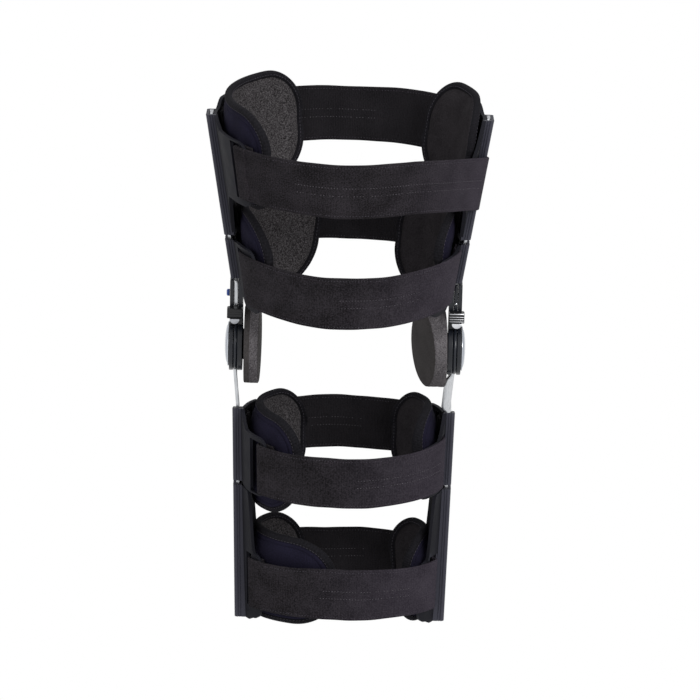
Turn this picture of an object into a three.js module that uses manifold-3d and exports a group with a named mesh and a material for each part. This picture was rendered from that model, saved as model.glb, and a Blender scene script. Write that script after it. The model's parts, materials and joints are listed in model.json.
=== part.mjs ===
// Hinged knee brace: two jointed uprights that carry four strapped and padded cuffs.
// Millimetres, +Z up, +Y to the back of the leg. Heights in the tables are measured from the knee axis.
import * as THREE from "three";
import { mergeVertices } from "three/addons/utils/BufferGeometryUtils.js";
import Module from "manifold-3d";

const wasm = await Module();
wasm.setup();

// Overall
const KNEE_HEIGHT = 246;
const CLEARANCE = 0.35;

// Uprights
const BAR_WIDTH = 18;
const BAR_THICKNESS = 3;
const BAR_X = 93;
const THIGH_BEND_Z = 60;
const THIGH_FLARE = 0.158;
const CALF_JOG_TOP = -26;
const CALF_JOG_BOTTOM = -52;
const CALF_JOG = 2.3;
const CALF_TAPER = 0.0235;
const THIGH_BAR_BOTTOM = 24;
const THIGH_BAR_TOP = 200;
const CALF_BAR_BOTTOM = -238;
const BAR_SEAT = 4.8;

// The two limb surfaces that the cuffs follow: depth in front of and behind the uprights at refZ,
// and how fast each depth grows with height.
const LIMBS = {
  thigh: { refZ: 71, front: 86, frontSlope: 0.109, back: 57, backSlope: 0.267 },
  calf: { refZ: -96, front: 71, frontSlope: 0.199, back: 53.5, backSlope: 0.067 },
};

// Brackets
const PLATE = 3;
const SPINE_HALF = 13;
const SPINE_OUT = 9;
const SPINE_WALL = 2.4;
const SPINE_CORNER = 2.5;
const SHOULDER = 16;
const WINDOW_LENGTH = 14;
const RIM = 12;
const WINDOW_MARGIN = 1.5;

// One row per bracket: heights of its spine, of its front wing and of its rear wing,
// and how far each wing reaches round the leg from the bar.
const BRACKETS = [
  {
    name: "thigh_upper", limb: "thigh", spineBottom: 99, spineTop: 207,
    frontBottom: 141, frontTop: 202, frontReach: 62, rearBottom: 150, rearTop: 210, rearReach: 48,
  },
  {
    name: "thigh_lower", limb: "thigh", spineBottom: 63, spineTop: 97,
    frontBottom: 43, frontTop: 101, frontReach: 56, rearBottom: 69, rearTop: 127, rearReach: 46,
  },
  {
    name: "calf_upper", limb: "calf", spineBottom: -121, spineTop: -54,
    frontBottom: -125, frontTop: -68, frontReach: 49, rearBottom: -118, rearTop: -61, rearReach: 44,
  },
  {
    name: "calf_lower", limb: "calf", spineBottom: -246, spineTop: -124,
    frontBottom: -246, frontTop: -179, frontReach: 43, rearBottom: -246, rearTop: -181, rearReach: 42,
  },
];

// Straps
const STRAP_WIDTH = 47;
const STRAP_THICKNESS = 2.2;
const STRAP_OUT = 4.5;
const STRAP_IN = -1.8;
const STRAP_TAIL = 11;
const STRAP_STEPS = 22;

// One row per strap: height at its ends and at its middle, and how much it leans outward at its middle.
const STRAPS = [
  { cuff: "thigh_upper", face: "front", endZ: 172, midZ: 171, lean: 0.03 },
  { cuff: "thigh_upper", face: "back", endZ: 179.5, midZ: 179.5, lean: 0.1 },
  { cuff: "thigh_lower", face: "front", endZ: 72, midZ: 69, lean: 0.12 },
  { cuff: "thigh_lower", face: "back", endZ: 98, midZ: 98, lean: 0.1 },
  { cuff: "calf_upper", face: "front", endZ: -96.5, midZ: -96.5, lean: 0.1 },
  { cuff: "calf_upper", face: "back", endZ: -90, midZ: -90, lean: 0.08 },
  { cuff: "calf_lower", face: "front", endZ: -207, midZ: -207, lean: 0 },
  { cuff: "calf_lower", face: "back", endZ: -209, midZ: -209, lean: 0.02 },
];

// Cuff pads
const PAD_OUT = -3.3;
const PAD_THICKNESS = 9;
const PAD_EDGE_THICKNESS = 5;
const PAD_CORNER = 36;
const PAD_CURL = 5;
const PAD_COLUMNS = 13;
const PAD_ROWS = [-1, -0.9, -0.5, 0, 0.5, 0.9, 1];

// One row per pad: its heights and how far it reaches behind and in front of the bar, in degrees.
const PADS = [
  { name: "thigh_upper_pad_left", side: -1, limb: "thigh", bottom: 130, top: 224, back: 66, front: 54 },
  { name: "thigh_upper_pad_right", side: 1, limb: "thigh", bottom: 130, top: 224, back: 49, front: 22 },
  { name: "thigh_lower_pad_left", side: -1, limb: "thigh", bottom: 44, top: 127, back: 74, front: 54 },
  { name: "thigh_lower_pad_right", side: 1, limb: "thigh", bottom: 44, top: 127, back: 61, front: 28 },
  { name: "calf_upper_pad_left", side: -1, limb: "calf", bottom: -141, top: -52, back: 64, front: 63 },
  { name: "calf_upper_pad_right", side: 1, limb: "calf", bottom: -139, top: -54, back: 58, front: 40 },
  { name: "calf_lower_pad_left", side: -1, limb: "calf", bottom: -245.6, top: -164, back: 64, front: 84 },
  { name: "calf_lower_pad_right", side: 1, limb: "calf", bottom: -245.6, top: -170, back: 56, front: 52 },
];

// Hinges
const PLATE_RADIUS = 22.5;
const HEAD_RADIUS = 20;
const INNER_PLATE_IN = 87;
const OUTER_PLATE_OUT = 98.2;
const ARM_TOP = 60;
const CAP_RADIUS = 19;
const CAP_HEIGHT = 3;
const PIN_RADIUS = 4;
const ROUND_SIDES = 28;

// Lock above each hinge
const SLIDER_BOTTOM = 25;
const SLIDER_TOP = 37;
const SLIDER_WALL = 1.8;
const SLIDER_FRONT = 17;
const SLIDER_RIBS = 4;
const RIB_DEPTH = 1.1;
const TONGUE_BOTTOM = 17.3;
const TONGUE_THICKNESS = 1.5;
const TONGUE_HALF_WIDTH = 4.4;
const BUTTON_RADIUS = 3;
const BUTTON_Z = 46;
const BUTTON_LENGTH = 2.8;

// Condyle pads
const CONDYLE_RADIUS = 33;
const CONDYLE_THICKNESS = 12;
const CONDYLE_ROUNDING = 2;
const CONDYLE_TOE_DEG = { left: 2, right: 11 };

// Finishes
const finish = (color, roughness, metalness) =>
  new THREE.MeshStandardMaterial({ color, roughness, metalness });
const ALUMINIUM = finish(0xb9bcc0, 0.32, 1);
const BLACK_PLASTIC = finish(0x26252b, 0.45, 0);
const SATIN_BLACK = finish(0x1f2026, 0.35, 0);
const STEEL = finish(0x9a9ca0, 0.3, 1);
const TONGUE_GREY = finish(0xc9cbd0, 0.4, 0);
const BLUE = finish(0x1f3f8f, 0.4, 0);
const FOAM = finish(0x47464a, 0.9, 0);
const PAD_CLOTH = finish(0x1e1c2a, 0.9, 0);
const LOOP_CLOTH = finish(0x262426, 0.95, 0);
const WEBBING = finish(0x1c1b1e, 0.85, 0);

// A closed geometry from points and triangles, turned so that its faces point out.
function closedGeometry(points, triangles) {
  let volume = 0;
  for (const [a, b, c] of triangles) {
    volume += points[a].dot(new THREE.Vector3().crossVectors(points[b], points[c]));
  }
  const ordered = volume < 0 ? triangles.map(([a, b, c]) => [a, c, b]) : triangles;
  const geometry = new THREE.BufferGeometry().setFromPoints(points);
  geometry.setIndex(ordered.flat());
  return geometry;
}

// A wall between two grids of points of the same size, closed along its four edges.
function panelGeometry(outer, inner) {
  const columns = outer.length;
  const rows = outer[0].length;
  const points = [...outer.flat(), ...inner.flat()];
  const out = (i, j) => i * rows + j;
  const within = (i, j) => columns * rows + out(i, j);
  const triangles = [];
  const quad = (a, b, c, d) => triangles.push([a, b, c], [a, c, d]);
  for (let i = 0; i < columns - 1; i++) {
    for (let j = 0; j < rows - 1; j++) {
      quad(out(i, j), out(i + 1, j), out(i + 1, j + 1), out(i, j + 1));
      quad(within(i, j), within(i, j + 1), within(i + 1, j + 1), within(i + 1, j));
    }
    quad(out(i + 1, 0), out(i, 0), within(i, 0), within(i + 1, 0));
    quad(out(i, rows - 1), out(i + 1, rows - 1), within(i + 1, rows - 1), within(i, rows - 1));
  }
  for (let j = 0; j < rows - 1; j++) {
    const last = columns - 1;
    quad(out(0, j), out(0, j + 1), within(0, j + 1), within(0, j));
    quad(out(last, j + 1), out(last, j), within(last, j), within(last, j + 1));
  }
  return closedGeometry(points, triangles);
}

// A geometry as a solid that can be joined and cut.
function solidOf(geometry) {
  const plain = geometry.clone();
  plain.deleteAttribute("normal");
  plain.deleteAttribute("uv");
  const merged = mergeVertices(plain, 1e-4);
  return new wasm.Manifold(
    new wasm.Mesh({
      numProp: 3,
      vertProperties: new Float32Array(merged.attributes.position.array),
      triVerts: new Uint32Array(merged.index.array),
    }),
  );
}

function geometryOf(solid) {
  const { vertProperties, triVerts } = solid.getMesh();
  const geometry = new THREE.BufferGeometry();
  geometry.setAttribute("position", new THREE.BufferAttribute(vertProperties, 3));
  geometry.setIndex(new THREE.BufferAttribute(triVerts, 1));
  return geometry;
}

// The left-hand copy of a right-hand geometry.
function mirrored(geometry) {
  const copy = geometry.index ? geometry.toNonIndexed() : geometry.clone();
  copy.deleteAttribute("normal");
  copy.deleteAttribute("uv");
  copy.applyMatrix4(new THREE.Matrix4().makeScale(-1, 1, 1));
  const { array } = copy.attributes.position;
  for (let i = 0; i < array.length; i += 9) {
    const second = array.slice(i + 3, i + 6);
    array.copyWithin(i + 3, i + 6, i + 9);
    array.set(second, i + 6);
  }
  return copy;
}

// A shape drawn in Y and Z, made solid between two distances along X.
function extrudeAlongX(shape, from, to) {
  const geometry = new THREE.ExtrudeGeometry(shape, {
    depth: to - from, bevelEnabled: false, curveSegments: ROUND_SIDES / 4,
  });
  const axes = new THREE.Matrix4().makeBasis(
    new THREE.Vector3(0, 1, 0), new THREE.Vector3(0, 0, 1), new THREE.Vector3(1, 0, 0),
  );
  return geometry.applyMatrix4(axes).translate(from, 0, 0);
}

// A round bar along X.
function roundAlongX(radius, from, to) {
  const geometry = new THREE.CylinderGeometry(radius, radius, to - from, ROUND_SIDES);
  return geometry.rotateZ(-Math.PI / 2).translate((from + to) / 2, 0, 0);
}

const smooth = (t) => THREE.MathUtils.smoothstep(t, 0, 1);
const steps = (count) => Array.from({ length: count + 1 }, (_, i) => i / count);

// Distance of the bar's middle plane from the leg's middle plane.
function barX(z) {
  if (z > THIGH_BEND_Z) return BAR_X + THIGH_FLARE * (z - THIGH_BEND_Z);
  const jog = THREE.MathUtils.clamp((CALF_JOG_TOP - z) / (CALF_JOG_TOP - CALF_JOG_BOTTOM), 0, 1);
  return BAR_X - CALF_JOG * jog + CALF_TAPER * Math.min(z - CALF_JOG_BOTTOM, 0);
}

// Half the width of a limb surface; the thigh's runs straight on below its bars' bend.
function halfWidth(limb, z) {
  if (limb === "calf") return barX(z) - BAR_SEAT;
  return BAR_X + THIGH_FLARE * (z - THIGH_BEND_Z) - BAR_SEAT;
}

function depth(limb, face, z) {
  const row = LIMBS[limb];
  return row[face] + row[`${face}Slope`] * (z - row.refZ);
}

// A point off the right half of a limb surface. The angle is 0 at the bar and 90 degrees at the middle.
function limbPoint({ limb, face, angle, z, offset, reach = depth(limb, face, z) }) {
  const width = halfWidth(limb, z);
  const way = face === "front" ? -1 : 1;
  const normal = new THREE.Vector2(Math.cos(angle) / width, Math.sin(angle) / reach).normalize();
  const x = width * Math.cos(angle) + offset * normal.x;
  const y = reach * Math.sin(angle) + offset * normal.y;
  return new THREE.Vector3(x, way * y, z);
}

// The angle that a distance round the leg from the bar spans.
function angleOf(limb, face, z, distance) {
  return (2 * distance) / (halfWidth(limb, z) + depth(limb, face, z));
}

// The angles at which a cuff's strap passes its bracket: window, rim and tail.
function passage(bracket, face, z) {
  const reach = face === "front" ? bracket.frontReach : bracket.rearReach;
  const angle = (distance) => angleOf(bracket.limb, face, z, distance);
  return {
    edge: angle(reach),
    windowEnd: angle(reach - RIM),
    windowStart: angle(reach - RIM - WINDOW_LENGTH),
    tail: angle(Math.max(reach - RIM - WINDOW_LENGTH - STRAP_TAIL, 2)),
  };
}

const strapOf = (cuff, face) => STRAPS.find((row) => row.cuff === cuff && row.face === face);
const bracketOf = (cuff) => BRACKETS.find((row) => row.name === cuff);

// The curved plate of a bracket, from its rear edge round to its front edge.
function bracketPlate(row) {
  const middle = (row.spineBottom + row.spineTop) / 2;
  const stretch = (face, reach) =>
    steps(7).map((t) => ({ face, t, angle: t * angleOf(row.limb, face, middle, reach) }));
  const columns = [...stretch("back", row.rearReach).slice(1).reverse(), ...stretch("front", row.frontReach)];
  const wall = (offset) =>
    columns.map(({ face, t, angle }) => {
      const rear = face === "back";
      const reach = rear ? row.rearReach : row.frontReach;
      const blend = smooth((t * reach - SPINE_HALF) / SHOULDER);
      const bottom = THREE.MathUtils.lerp(row.spineBottom, rear ? row.rearBottom : row.frontBottom, blend);
      const top = THREE.MathUtils.lerp(row.spineTop, rear ? row.rearTop : row.frontTop, blend);
      return steps(2).map((v) =>
        limbPoint({ limb: row.limb, face, angle, z: bottom + v * (top - bottom), offset }));
    });
  return panelGeometry(wall(PLATE), wall(0));
}

// The box on the outside of a bracket that holds the bar against the plate.
function bracketSpine(row) {
  const middle = (row.spineBottom + row.spineTop) / 2;
  const inside = BAR_WIDTH / 2 + CLEARANCE;
  const legY = (inside + SPINE_HALF) / 2;
  const shallow = Math.min(depth(row.limb, "front", middle), depth(row.limb, "back", middle));
  const drop = halfWidth(row.limb, middle) * (1 - Math.sqrt(1 - (legY / shallow) ** 2));
  const leg = PLATE / 2 - drop;
  const floor = SPINE_OUT - SPINE_WALL;
  const section = [
    [leg, -SPINE_HALF],
    [SPINE_OUT - SPINE_CORNER, -SPINE_HALF],
    [SPINE_OUT, SPINE_CORNER - SPINE_HALF],
    [SPINE_OUT, SPINE_HALF - SPINE_CORNER],
    [SPINE_OUT - SPINE_CORNER, SPINE_HALF],
    [leg, SPINE_HALF],
    [leg, inside],
    [floor, inside],
    [floor, -inside],
    [leg, -inside],
  ];
  const shape = new THREE.Shape(section.map(([x, y]) => new THREE.Vector2(x, y)));
  const geometry = new THREE.ExtrudeGeometry(shape, {
    depth: row.spineTop - row.spineBottom, bevelEnabled: false,
  }).translate(0, 0, row.spineBottom);
  const places = geometry.attributes.position;
  for (let i = 0; i < places.count; i++) {
    places.setX(i, places.getX(i) + halfWidth(row.limb, places.getZ(i)));
  }
  return geometry;
}

// The opening that a strap passes through.
function strapWindow(row, face) {
  const strap = strapOf(row.name, face);
  const pass = passage(row, face, strap.endZ);
  const half = STRAP_WIDTH / 2 + WINDOW_MARGIN;
  const wall = (offset) =>
    steps(3).map((t) => {
      const angle = THREE.MathUtils.lerp(pass.windowStart, pass.windowEnd, t);
      return [-half, half].map((dz) =>
        limbPoint({ limb: row.limb, face, angle, z: strap.endZ + dz, offset }));
    });
  return panelGeometry(wall(2 * PLATE), wall(-PLATE));
}

function bracketGeometry(row) {
  const body = solidOf(bracketPlate(row)).add(solidOf(bracketSpine(row)));
  const front = solidOf(strapWindow(row, "front"));
  const back = solidOf(strapWindow(row, "back"));
  return geometryOf(body.subtract(front).subtract(back));
}

// A strap from its tail inside the right bracket, round the leg, to its tail inside the left one.
function strapGeometry(row) {
  const bracket = bracketOf(row.cuff);
  const { limb } = bracket;
  const pass = passage(bracket, row.face, row.endZ);
  const half = Math.PI / 2;
  const settle = (angle) => smooth((angle - pass.edge) / (half - pass.edge));
  const span = pass.windowEnd - pass.windowStart;
  const near = [
    ...steps(2).map((t) => THREE.MathUtils.lerp(pass.tail, pass.windowStart, t)),
    ...steps(5).slice(1).map((t) => pass.windowStart + t * span),
    ...steps(STRAP_STEPS / 2).slice(1).map((t) => THREE.MathUtils.lerp(pass.windowEnd, half, t)),
  ];
  const wall = (thickness) => {
    const column = (angle, mirror) => {
      const out = smooth((angle - pass.windowStart) / span);
      const offset = THREE.MathUtils.lerp(STRAP_IN, STRAP_OUT, out) + thickness;
      const z = THREE.MathUtils.lerp(row.endZ, row.midZ, settle(angle));
      return [-0.5, 0.5].map((v) => {
        const height = z + v * STRAP_WIDTH;
        const own = depth(limb, row.face, z) + row.lean * v * STRAP_WIDTH;
        const reach = THREE.MathUtils.lerp(depth(limb, row.face, height), own, settle(angle));
        const point = limbPoint({ limb, face: row.face, angle, z: height, offset, reach });
        return mirror ? point.setX(-point.x) : point;
      });
    };
    const right = near.map((angle) => column(angle, false));
    const left = near.slice(0, -1).reverse().map((angle) => column(angle, true));
    return [...right, ...left];
  };
  return panelGeometry(wall(STRAP_THICKNESS / 2), wall(-STRAP_THICKNESS / 2));
}

// A pad on the right half of a limb surface, with rounded corners and a thinner bound edge.
// Its top and bottom curl in towards the leg.
function padGeometry(row) {
  const middle = (row.top + row.bottom) / 2;
  const halfHeight = (row.top - row.bottom) / 2;
  const mean = (halfWidth(row.limb, middle) + depth(row.limb, "front", middle)) / 2;
  const from = THREE.MathUtils.degToRad(-row.back);
  const to = THREE.MathUtils.degToRad(row.front);
  const columns = steps(PAD_COLUMNS - 1).map((t) => {
    const across = (1 - Math.cos(Math.PI * t)) / 2;
    const angle = THREE.MathUtils.lerp(from, to, across);
    const edge = Math.min(angle - from, to - angle) * mean;
    const into = Math.max(PAD_CORNER - edge, 0);
    const half = halfHeight - PAD_CORNER + Math.sqrt(PAD_CORNER ** 2 - into ** 2);
    return { angle, half, end: t === 0 || t === 1 };
  });
  const wall = (inset, edgeInset) =>
    columns.map(({ angle, half, end }) =>
      PAD_ROWS.map((v) =>
        limbPoint({
          limb: row.limb,
          face: angle < 0 ? "back" : "front",
          angle: Math.abs(angle),
          z: middle + v * half,
          offset: PAD_OUT - PAD_CURL * v ** 2 - (end || Math.abs(v) === 1 ? edgeInset : inset),
        })));
  const slack = (PAD_THICKNESS - PAD_EDGE_THICKNESS) / 2;
  const geometry = panelGeometry(wall(0, slack), wall(PAD_THICKNESS, PAD_THICKNESS - slack));
  return row.side < 0 ? mirrored(geometry) : geometry;
}

// A bar with a rectangular section through the given heights.
function barGeometry(heights) {
  const face = (offset) =>
    heights.map((z) =>
      [-1, 1].map((way) => new THREE.Vector3(barX(z) + offset, (way * BAR_WIDTH) / 2, z)));
  return panelGeometry(face(BAR_THICKNESS / 2), face(-BAR_THICKNESS / 2));
}

function thighBarGeometry() {
  return barGeometry([THIGH_BAR_BOTTOM, THIGH_BEND_Z, THIGH_BAR_TOP]);
}

// The calf bar ends in a round head that turns on the hinge pin.
function calfBarGeometry() {
  const inner = BAR_X - BAR_THICKNESS / 2;
  const outer = BAR_X + BAR_THICKNESS / 2;
  const head = solidOf(roundAlongX(HEAD_RADIUS, inner, outer));
  const bore = solidOf(roundAlongX(PIN_RADIUS + CLEARANCE, inner - 1, outer + 1));
  const shank = solidOf(barGeometry([0, CALF_JOG_TOP, CALF_JOG_BOTTOM, CALF_BAR_BOTTOM]));
  return geometryOf(shank.add(head).subtract(bore));
}

// A round hinge plate with an arm that clasps the thigh bar.
function hingePlateGeometry(from, to) {
  const half = BAR_WIDTH / 2;
  const meet = Math.asin(half / PLATE_RADIUS);
  const shape = new THREE.Shape();
  shape.moveTo(half, ARM_TOP);
  shape.lineTo(-half, ARM_TOP);
  shape.absarc(0, 0, PLATE_RADIUS, Math.PI / 2 + meet, Math.PI * 2.5 - meet, false);
  const bore = new THREE.Path();
  bore.absarc(0, 0, PIN_RADIUS + CLEARANCE, 0, 2 * Math.PI, true);
  shape.holes.push(bore);
  return extrudeAlongX(shape, from, to);
}

// A shallow dome that covers the pin.
function hingeCapGeometry() {
  const base = OUTER_PLATE_OUT + CLEARANCE;
  const profile = [new THREE.Vector2(0, 0), new THREE.Vector2(CAP_RADIUS, 0)];
  for (const t of steps(4)) {
    const angle = (t * Math.PI) / 2;
    profile.push(new THREE.Vector2(CAP_RADIUS * Math.cos(angle), 0.6 + CAP_HEIGHT * Math.sin(angle)));
  }
  profile[profile.length - 1].x = 0;
  const geometry = new THREE.LatheGeometry(profile, ROUND_SIDES);
  return geometry.rotateZ(-Math.PI / 2).translate(base, 0, 0);
}

function hingePinGeometry() {
  return roundAlongX(PIN_RADIUS, INNER_PLATE_IN + CLEARANCE, OUTER_PLATE_OUT);
}

const sliderIn = INNER_PLATE_IN + CLEARANCE;
const sliderOut = OUTER_PLATE_OUT + CLEARANCE + SLIDER_WALL;

// The collar that slides on the arms, open towards the leg and ribbed on its front.
function lockSliderGeometry() {
  const back = BAR_WIDTH / 2 + CLEARANCE + SLIDER_WALL;
  const pitch = (SLIDER_TOP - SLIDER_BOTTOM) / SLIDER_RIBS;
  const shape = new THREE.Shape();
  shape.moveTo(back, SLIDER_TOP);
  for (let i = 0; i < SLIDER_RIBS; i++) {
    const top = SLIDER_TOP - i * pitch;
    shape.lineTo(RIB_DEPTH - SLIDER_FRONT, top);
    shape.lineTo(-SLIDER_FRONT, top - pitch / 3);
    shape.lineTo(-SLIDER_FRONT, top - (2 * pitch) / 3);
  }
  shape.lineTo(RIB_DEPTH - SLIDER_FRONT, SLIDER_BOTTOM);
  shape.lineTo(back, SLIDER_BOTTOM);
  const holeWidth = 2 * (OUTER_PLATE_OUT - INNER_PLATE_IN);
  const hole = new THREE.BoxGeometry(holeWidth, BAR_WIDTH + 2 * CLEARANCE, 4 * SLIDER_TOP);
  hole.translate(OUTER_PLATE_OUT + CLEARANCE - holeWidth / 2, 0, 0);
  return geometryOf(solidOf(extrudeAlongX(shape, sliderIn, sliderOut)).subtract(solidOf(hole)));
}

// The round-ended tongue below the slider, in front of the hinge plates.
function lockTongueGeometry() {
  const top = SLIDER_BOTTOM - CLEARANCE;
  const shape = new THREE.Shape();
  shape.moveTo(-TONGUE_HALF_WIDTH, top);
  shape.absarc(0, TONGUE_BOTTOM + TONGUE_HALF_WIDTH, TONGUE_HALF_WIDTH, Math.PI, 2 * Math.PI, false);
  shape.lineTo(TONGUE_HALF_WIDTH, top);
  const geometry = new THREE.ExtrudeGeometry(shape, {
    depth: TONGUE_THICKNESS, bevelEnabled: false, curveSegments: 8,
  });
  const front = RIB_DEPTH - SLIDER_FRONT + TONGUE_THICKNESS;
  return geometry.rotateX(Math.PI / 2).translate((sliderIn + sliderOut) / 2, front, 0);
}

function lockButtonGeometry() {
  const from = OUTER_PLATE_OUT + CLEARANCE;
  return roundAlongX(BUTTON_RADIUS, from, from + BUTTON_LENGTH).translate(0, 0, BUTTON_Z);
}

// A round foam pad whose inner face turns towards the front by the toe angle.
function condylePadGeometry(toeDeg) {
  const r = CONDYLE_RADIUS;
  const t = CONDYLE_THICKNESS;
  const c = CONDYLE_ROUNDING;
  const profile = [[0, 0], [r - c, 0], [r, c], [r, t - c], [r - c, t], [0, t]];
  const geometry = new THREE.LatheGeometry(profile.map(([x, y]) => new THREE.Vector2(x, y)), ROUND_SIDES);
  geometry.rotateZ(Math.PI / 2);
  const slope = Math.tan(THREE.MathUtils.degToRad(toeDeg));
  const places = geometry.attributes.position;
  for (let i = 0; i < places.count; i++) {
    const x = places.getX(i);
    const share = -x / t;
    places.setX(i, x - share * slope * (places.getY(i) + r));
  }
  return geometry.translate(INNER_PLATE_IN - CLEARANCE, 0, 0);
}

const brace = new THREE.Group();

function addPiece(name, geometry, material) {
  const mesh = new THREE.Mesh(geometry, material);
  mesh.name = name;
  mesh.position.z = KNEE_HEIGHT;
  brace.add(mesh);
}

function addPair(name, geometry, material) {
  addPiece(`${name}_left`, mirrored(geometry), material);
  addPiece(`${name}_right`, geometry, material);
}

const headInner = BAR_X - BAR_THICKNESS / 2;
const headOuter = BAR_X + BAR_THICKNESS / 2;
addPair("thigh_bar", thighBarGeometry(), ALUMINIUM);
addPair("calf_bar", calfBarGeometry(), ALUMINIUM);
for (const row of BRACKETS) addPair(`${row.name}_bracket`, bracketGeometry(row), BLACK_PLASTIC);
addPair("hinge_inner_plate", hingePlateGeometry(INNER_PLATE_IN, headInner - CLEARANCE), SATIN_BLACK);
addPair("hinge_outer_plate", hingePlateGeometry(headOuter + CLEARANCE, OUTER_PLATE_OUT), SATIN_BLACK);
addPair("hinge_cap", hingeCapGeometry(), SATIN_BLACK);
addPair("hinge_pin", hingePinGeometry(), STEEL);
addPair("lock_slider", lockSliderGeometry(), BLACK_PLASTIC);
addPair("lock_tongue", lockTongueGeometry(), TONGUE_GREY);
addPiece("lock_button_left", mirrored(lockButtonGeometry()), BLUE);
addPiece("condyle_pad_left", mirrored(condylePadGeometry(CONDYLE_TOE_DEG.left)), FOAM);
addPiece("condyle_pad_right", condylePadGeometry(CONDYLE_TOE_DEG.right), FOAM);
for (const row of PADS) addPiece(row.name, padGeometry(row), PAD_CLOTH);
for (const row of STRAPS) {
  const cloth = row.face === "front" ? LOOP_CLOTH : WEBBING;
  addPiece(`${row.cuff}_${row.face}_strap`, strapGeometry(row), cloth);
}

// The origin is under the middle of the brace.
const box = new THREE.Box3().setFromObject(brace);
const middleY = (box.min.y + box.max.y) / 2;
for (const piece of brace.children) piece.position.y -= middleY;

export default brace;
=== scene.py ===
"""Hinged knee brace: its cloth, foam, moulded and metal pieces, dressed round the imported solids.

Shapes are worked out in millimetres from the middle of the knee axis, with +X to the right as seen
from the front, +Y to the back of the leg and +Z up the leg. Pieces are placed in metres.
"""

import json
import logging
import math
from collections.abc import Iterable, Sequence
from dataclasses import dataclass, field
from enum import Enum
from functools import partial
from typing import Any, ClassVar

import bmesh
import bpy
import numpy as np
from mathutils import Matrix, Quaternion, Vector

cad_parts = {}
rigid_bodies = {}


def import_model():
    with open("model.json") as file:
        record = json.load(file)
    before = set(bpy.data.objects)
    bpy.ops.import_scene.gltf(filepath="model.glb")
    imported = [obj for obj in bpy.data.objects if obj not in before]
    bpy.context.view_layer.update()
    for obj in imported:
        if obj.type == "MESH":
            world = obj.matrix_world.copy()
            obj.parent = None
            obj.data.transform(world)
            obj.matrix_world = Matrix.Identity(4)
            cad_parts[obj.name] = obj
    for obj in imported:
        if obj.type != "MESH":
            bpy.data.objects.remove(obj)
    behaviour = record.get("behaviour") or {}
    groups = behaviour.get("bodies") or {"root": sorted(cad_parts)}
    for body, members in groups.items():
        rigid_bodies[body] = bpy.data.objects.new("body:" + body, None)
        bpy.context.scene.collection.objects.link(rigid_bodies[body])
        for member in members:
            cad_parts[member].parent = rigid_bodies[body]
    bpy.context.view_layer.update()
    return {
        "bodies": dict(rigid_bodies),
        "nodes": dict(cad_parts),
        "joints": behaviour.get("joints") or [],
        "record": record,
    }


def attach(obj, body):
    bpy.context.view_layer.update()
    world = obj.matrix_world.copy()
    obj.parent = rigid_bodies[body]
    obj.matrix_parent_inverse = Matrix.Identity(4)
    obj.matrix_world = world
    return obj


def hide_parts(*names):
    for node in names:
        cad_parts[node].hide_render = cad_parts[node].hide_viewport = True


log = logging.getLogger("knee_brace")

MM = 0.001
THREAD = "thread_mm"
FULL_TURN = 2 * math.pi
QUARTER_TURN = math.pi / 2

Faces = list[tuple[int, ...]]
Shell = tuple[np.ndarray, Faces]
Pairs = tuple[tuple[float, float], ...]


class Side(Enum):
    """Left or right upright, as seen from the front."""

    LEFT = -1
    RIGHT = 1

    @property
    def word(self) -> str:
        """The side's name as it ends a piece's name."""
        return self.name.lower()


class Face(Enum):
    """The front or the back of the leg."""

    FRONT = 1
    BACK = -1


class Limb(Enum):
    """The half of the leg that a cuff goes round. Its value is the body that the cuff rides on."""

    THIGH = "thigh"
    CALF = "calf"


def to_linear(colour: str) -> tuple[float, float, float, float]:
    """Turns an sRGB hex colour to linear light.

    Args:
        colour: A colour such as "#1d1b2b".

    Returns:
        Linear red, green and blue, and an alpha of 1.
    """
    channels = [int(colour[i : i + 2], 16) / 255 for i in (1, 3, 5)]
    linear = [c / 12.92 if c <= 0.04045 else ((c + 0.055) / 1.055) ** 2.4 for c in channels]
    return (linear[0], linear[1], linear[2], 1.0)


def ease(share: np.ndarray | float) -> np.ndarray:
    """A smooth step from 0 to 1.

    Args:
        share: Where each point is between the start, 0, and the end, 1.

    Returns:
        The eased share, held at 0 and 1 outside that.
    """
    held = np.clip(share, 0, 1)
    return held * held * (3 - 2 * held)


def between(low: Any, high: Any, share: Any) -> Any:
    """The value a share of the way from low to high."""
    return low + (high - low) * share


# Finishes


def add_node(
    tree: bpy.types.NodeTree,
    kind: str,
    settings: dict[str | int, Any] | None = None,
    links: dict[str | int, bpy.types.NodeSocket] | None = None,
) -> bpy.types.Node:
    """Adds a shader node.

    Args:
        tree: The material's nodes.
        kind: The node's type.
        settings: Values of its sockets and properties. "stops" is a ramp's positions and colours.
        links: The sockets that feed its inputs.

    Returns:
        The new node.
    """
    node = tree.nodes.new(kind)
    for key, value in (settings or {}).items():
        if key == "stops":
            elements = node.color_ramp.elements
            while len(elements) < len(value):
                elements.new(1.0)
            for element, (position, colour) in zip(elements, value):
                element.position = position
                element.color = colour
        elif isinstance(key, int) or key in node.inputs:
            node.inputs[key].default_value = value
        else:
            setattr(node, key, value)
    for key, socket in (links or {}).items():
        tree.links.new(socket, node.inputs[key])
    return node


@dataclass(frozen=True)
class Finish:
    """What a surface is made of. Each kind of finish paints its own nodes."""

    name: str
    slot: str

    def material(self) -> bpy.types.Material:
        """The finish as a material, made on first use.

        Returns:
            The material, shared by every piece with this finish.
        """
        found = bpy.data.materials.get(self.name)
        if found:
            return found
        made = bpy.data.materials.new(self.name)
        made.use_nodes = True
        tree = made.node_tree
        tree.nodes.clear()
        shader = add_node(tree, "ShaderNodeBsdfPrincipled")
        add_node(tree, "ShaderNodeOutputMaterial", links={"Surface": shader.outputs["BSDF"]})
        self.paint(tree, shader)
        return made

    def paint(self, tree: bpy.types.NodeTree, shader: bpy.types.Node) -> None:
        """Links this finish's colour and relief to the shader.

        Args:
            tree: The material's nodes.
            shader: Its principled shader.
        """
        raise NotImplementedError


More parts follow.
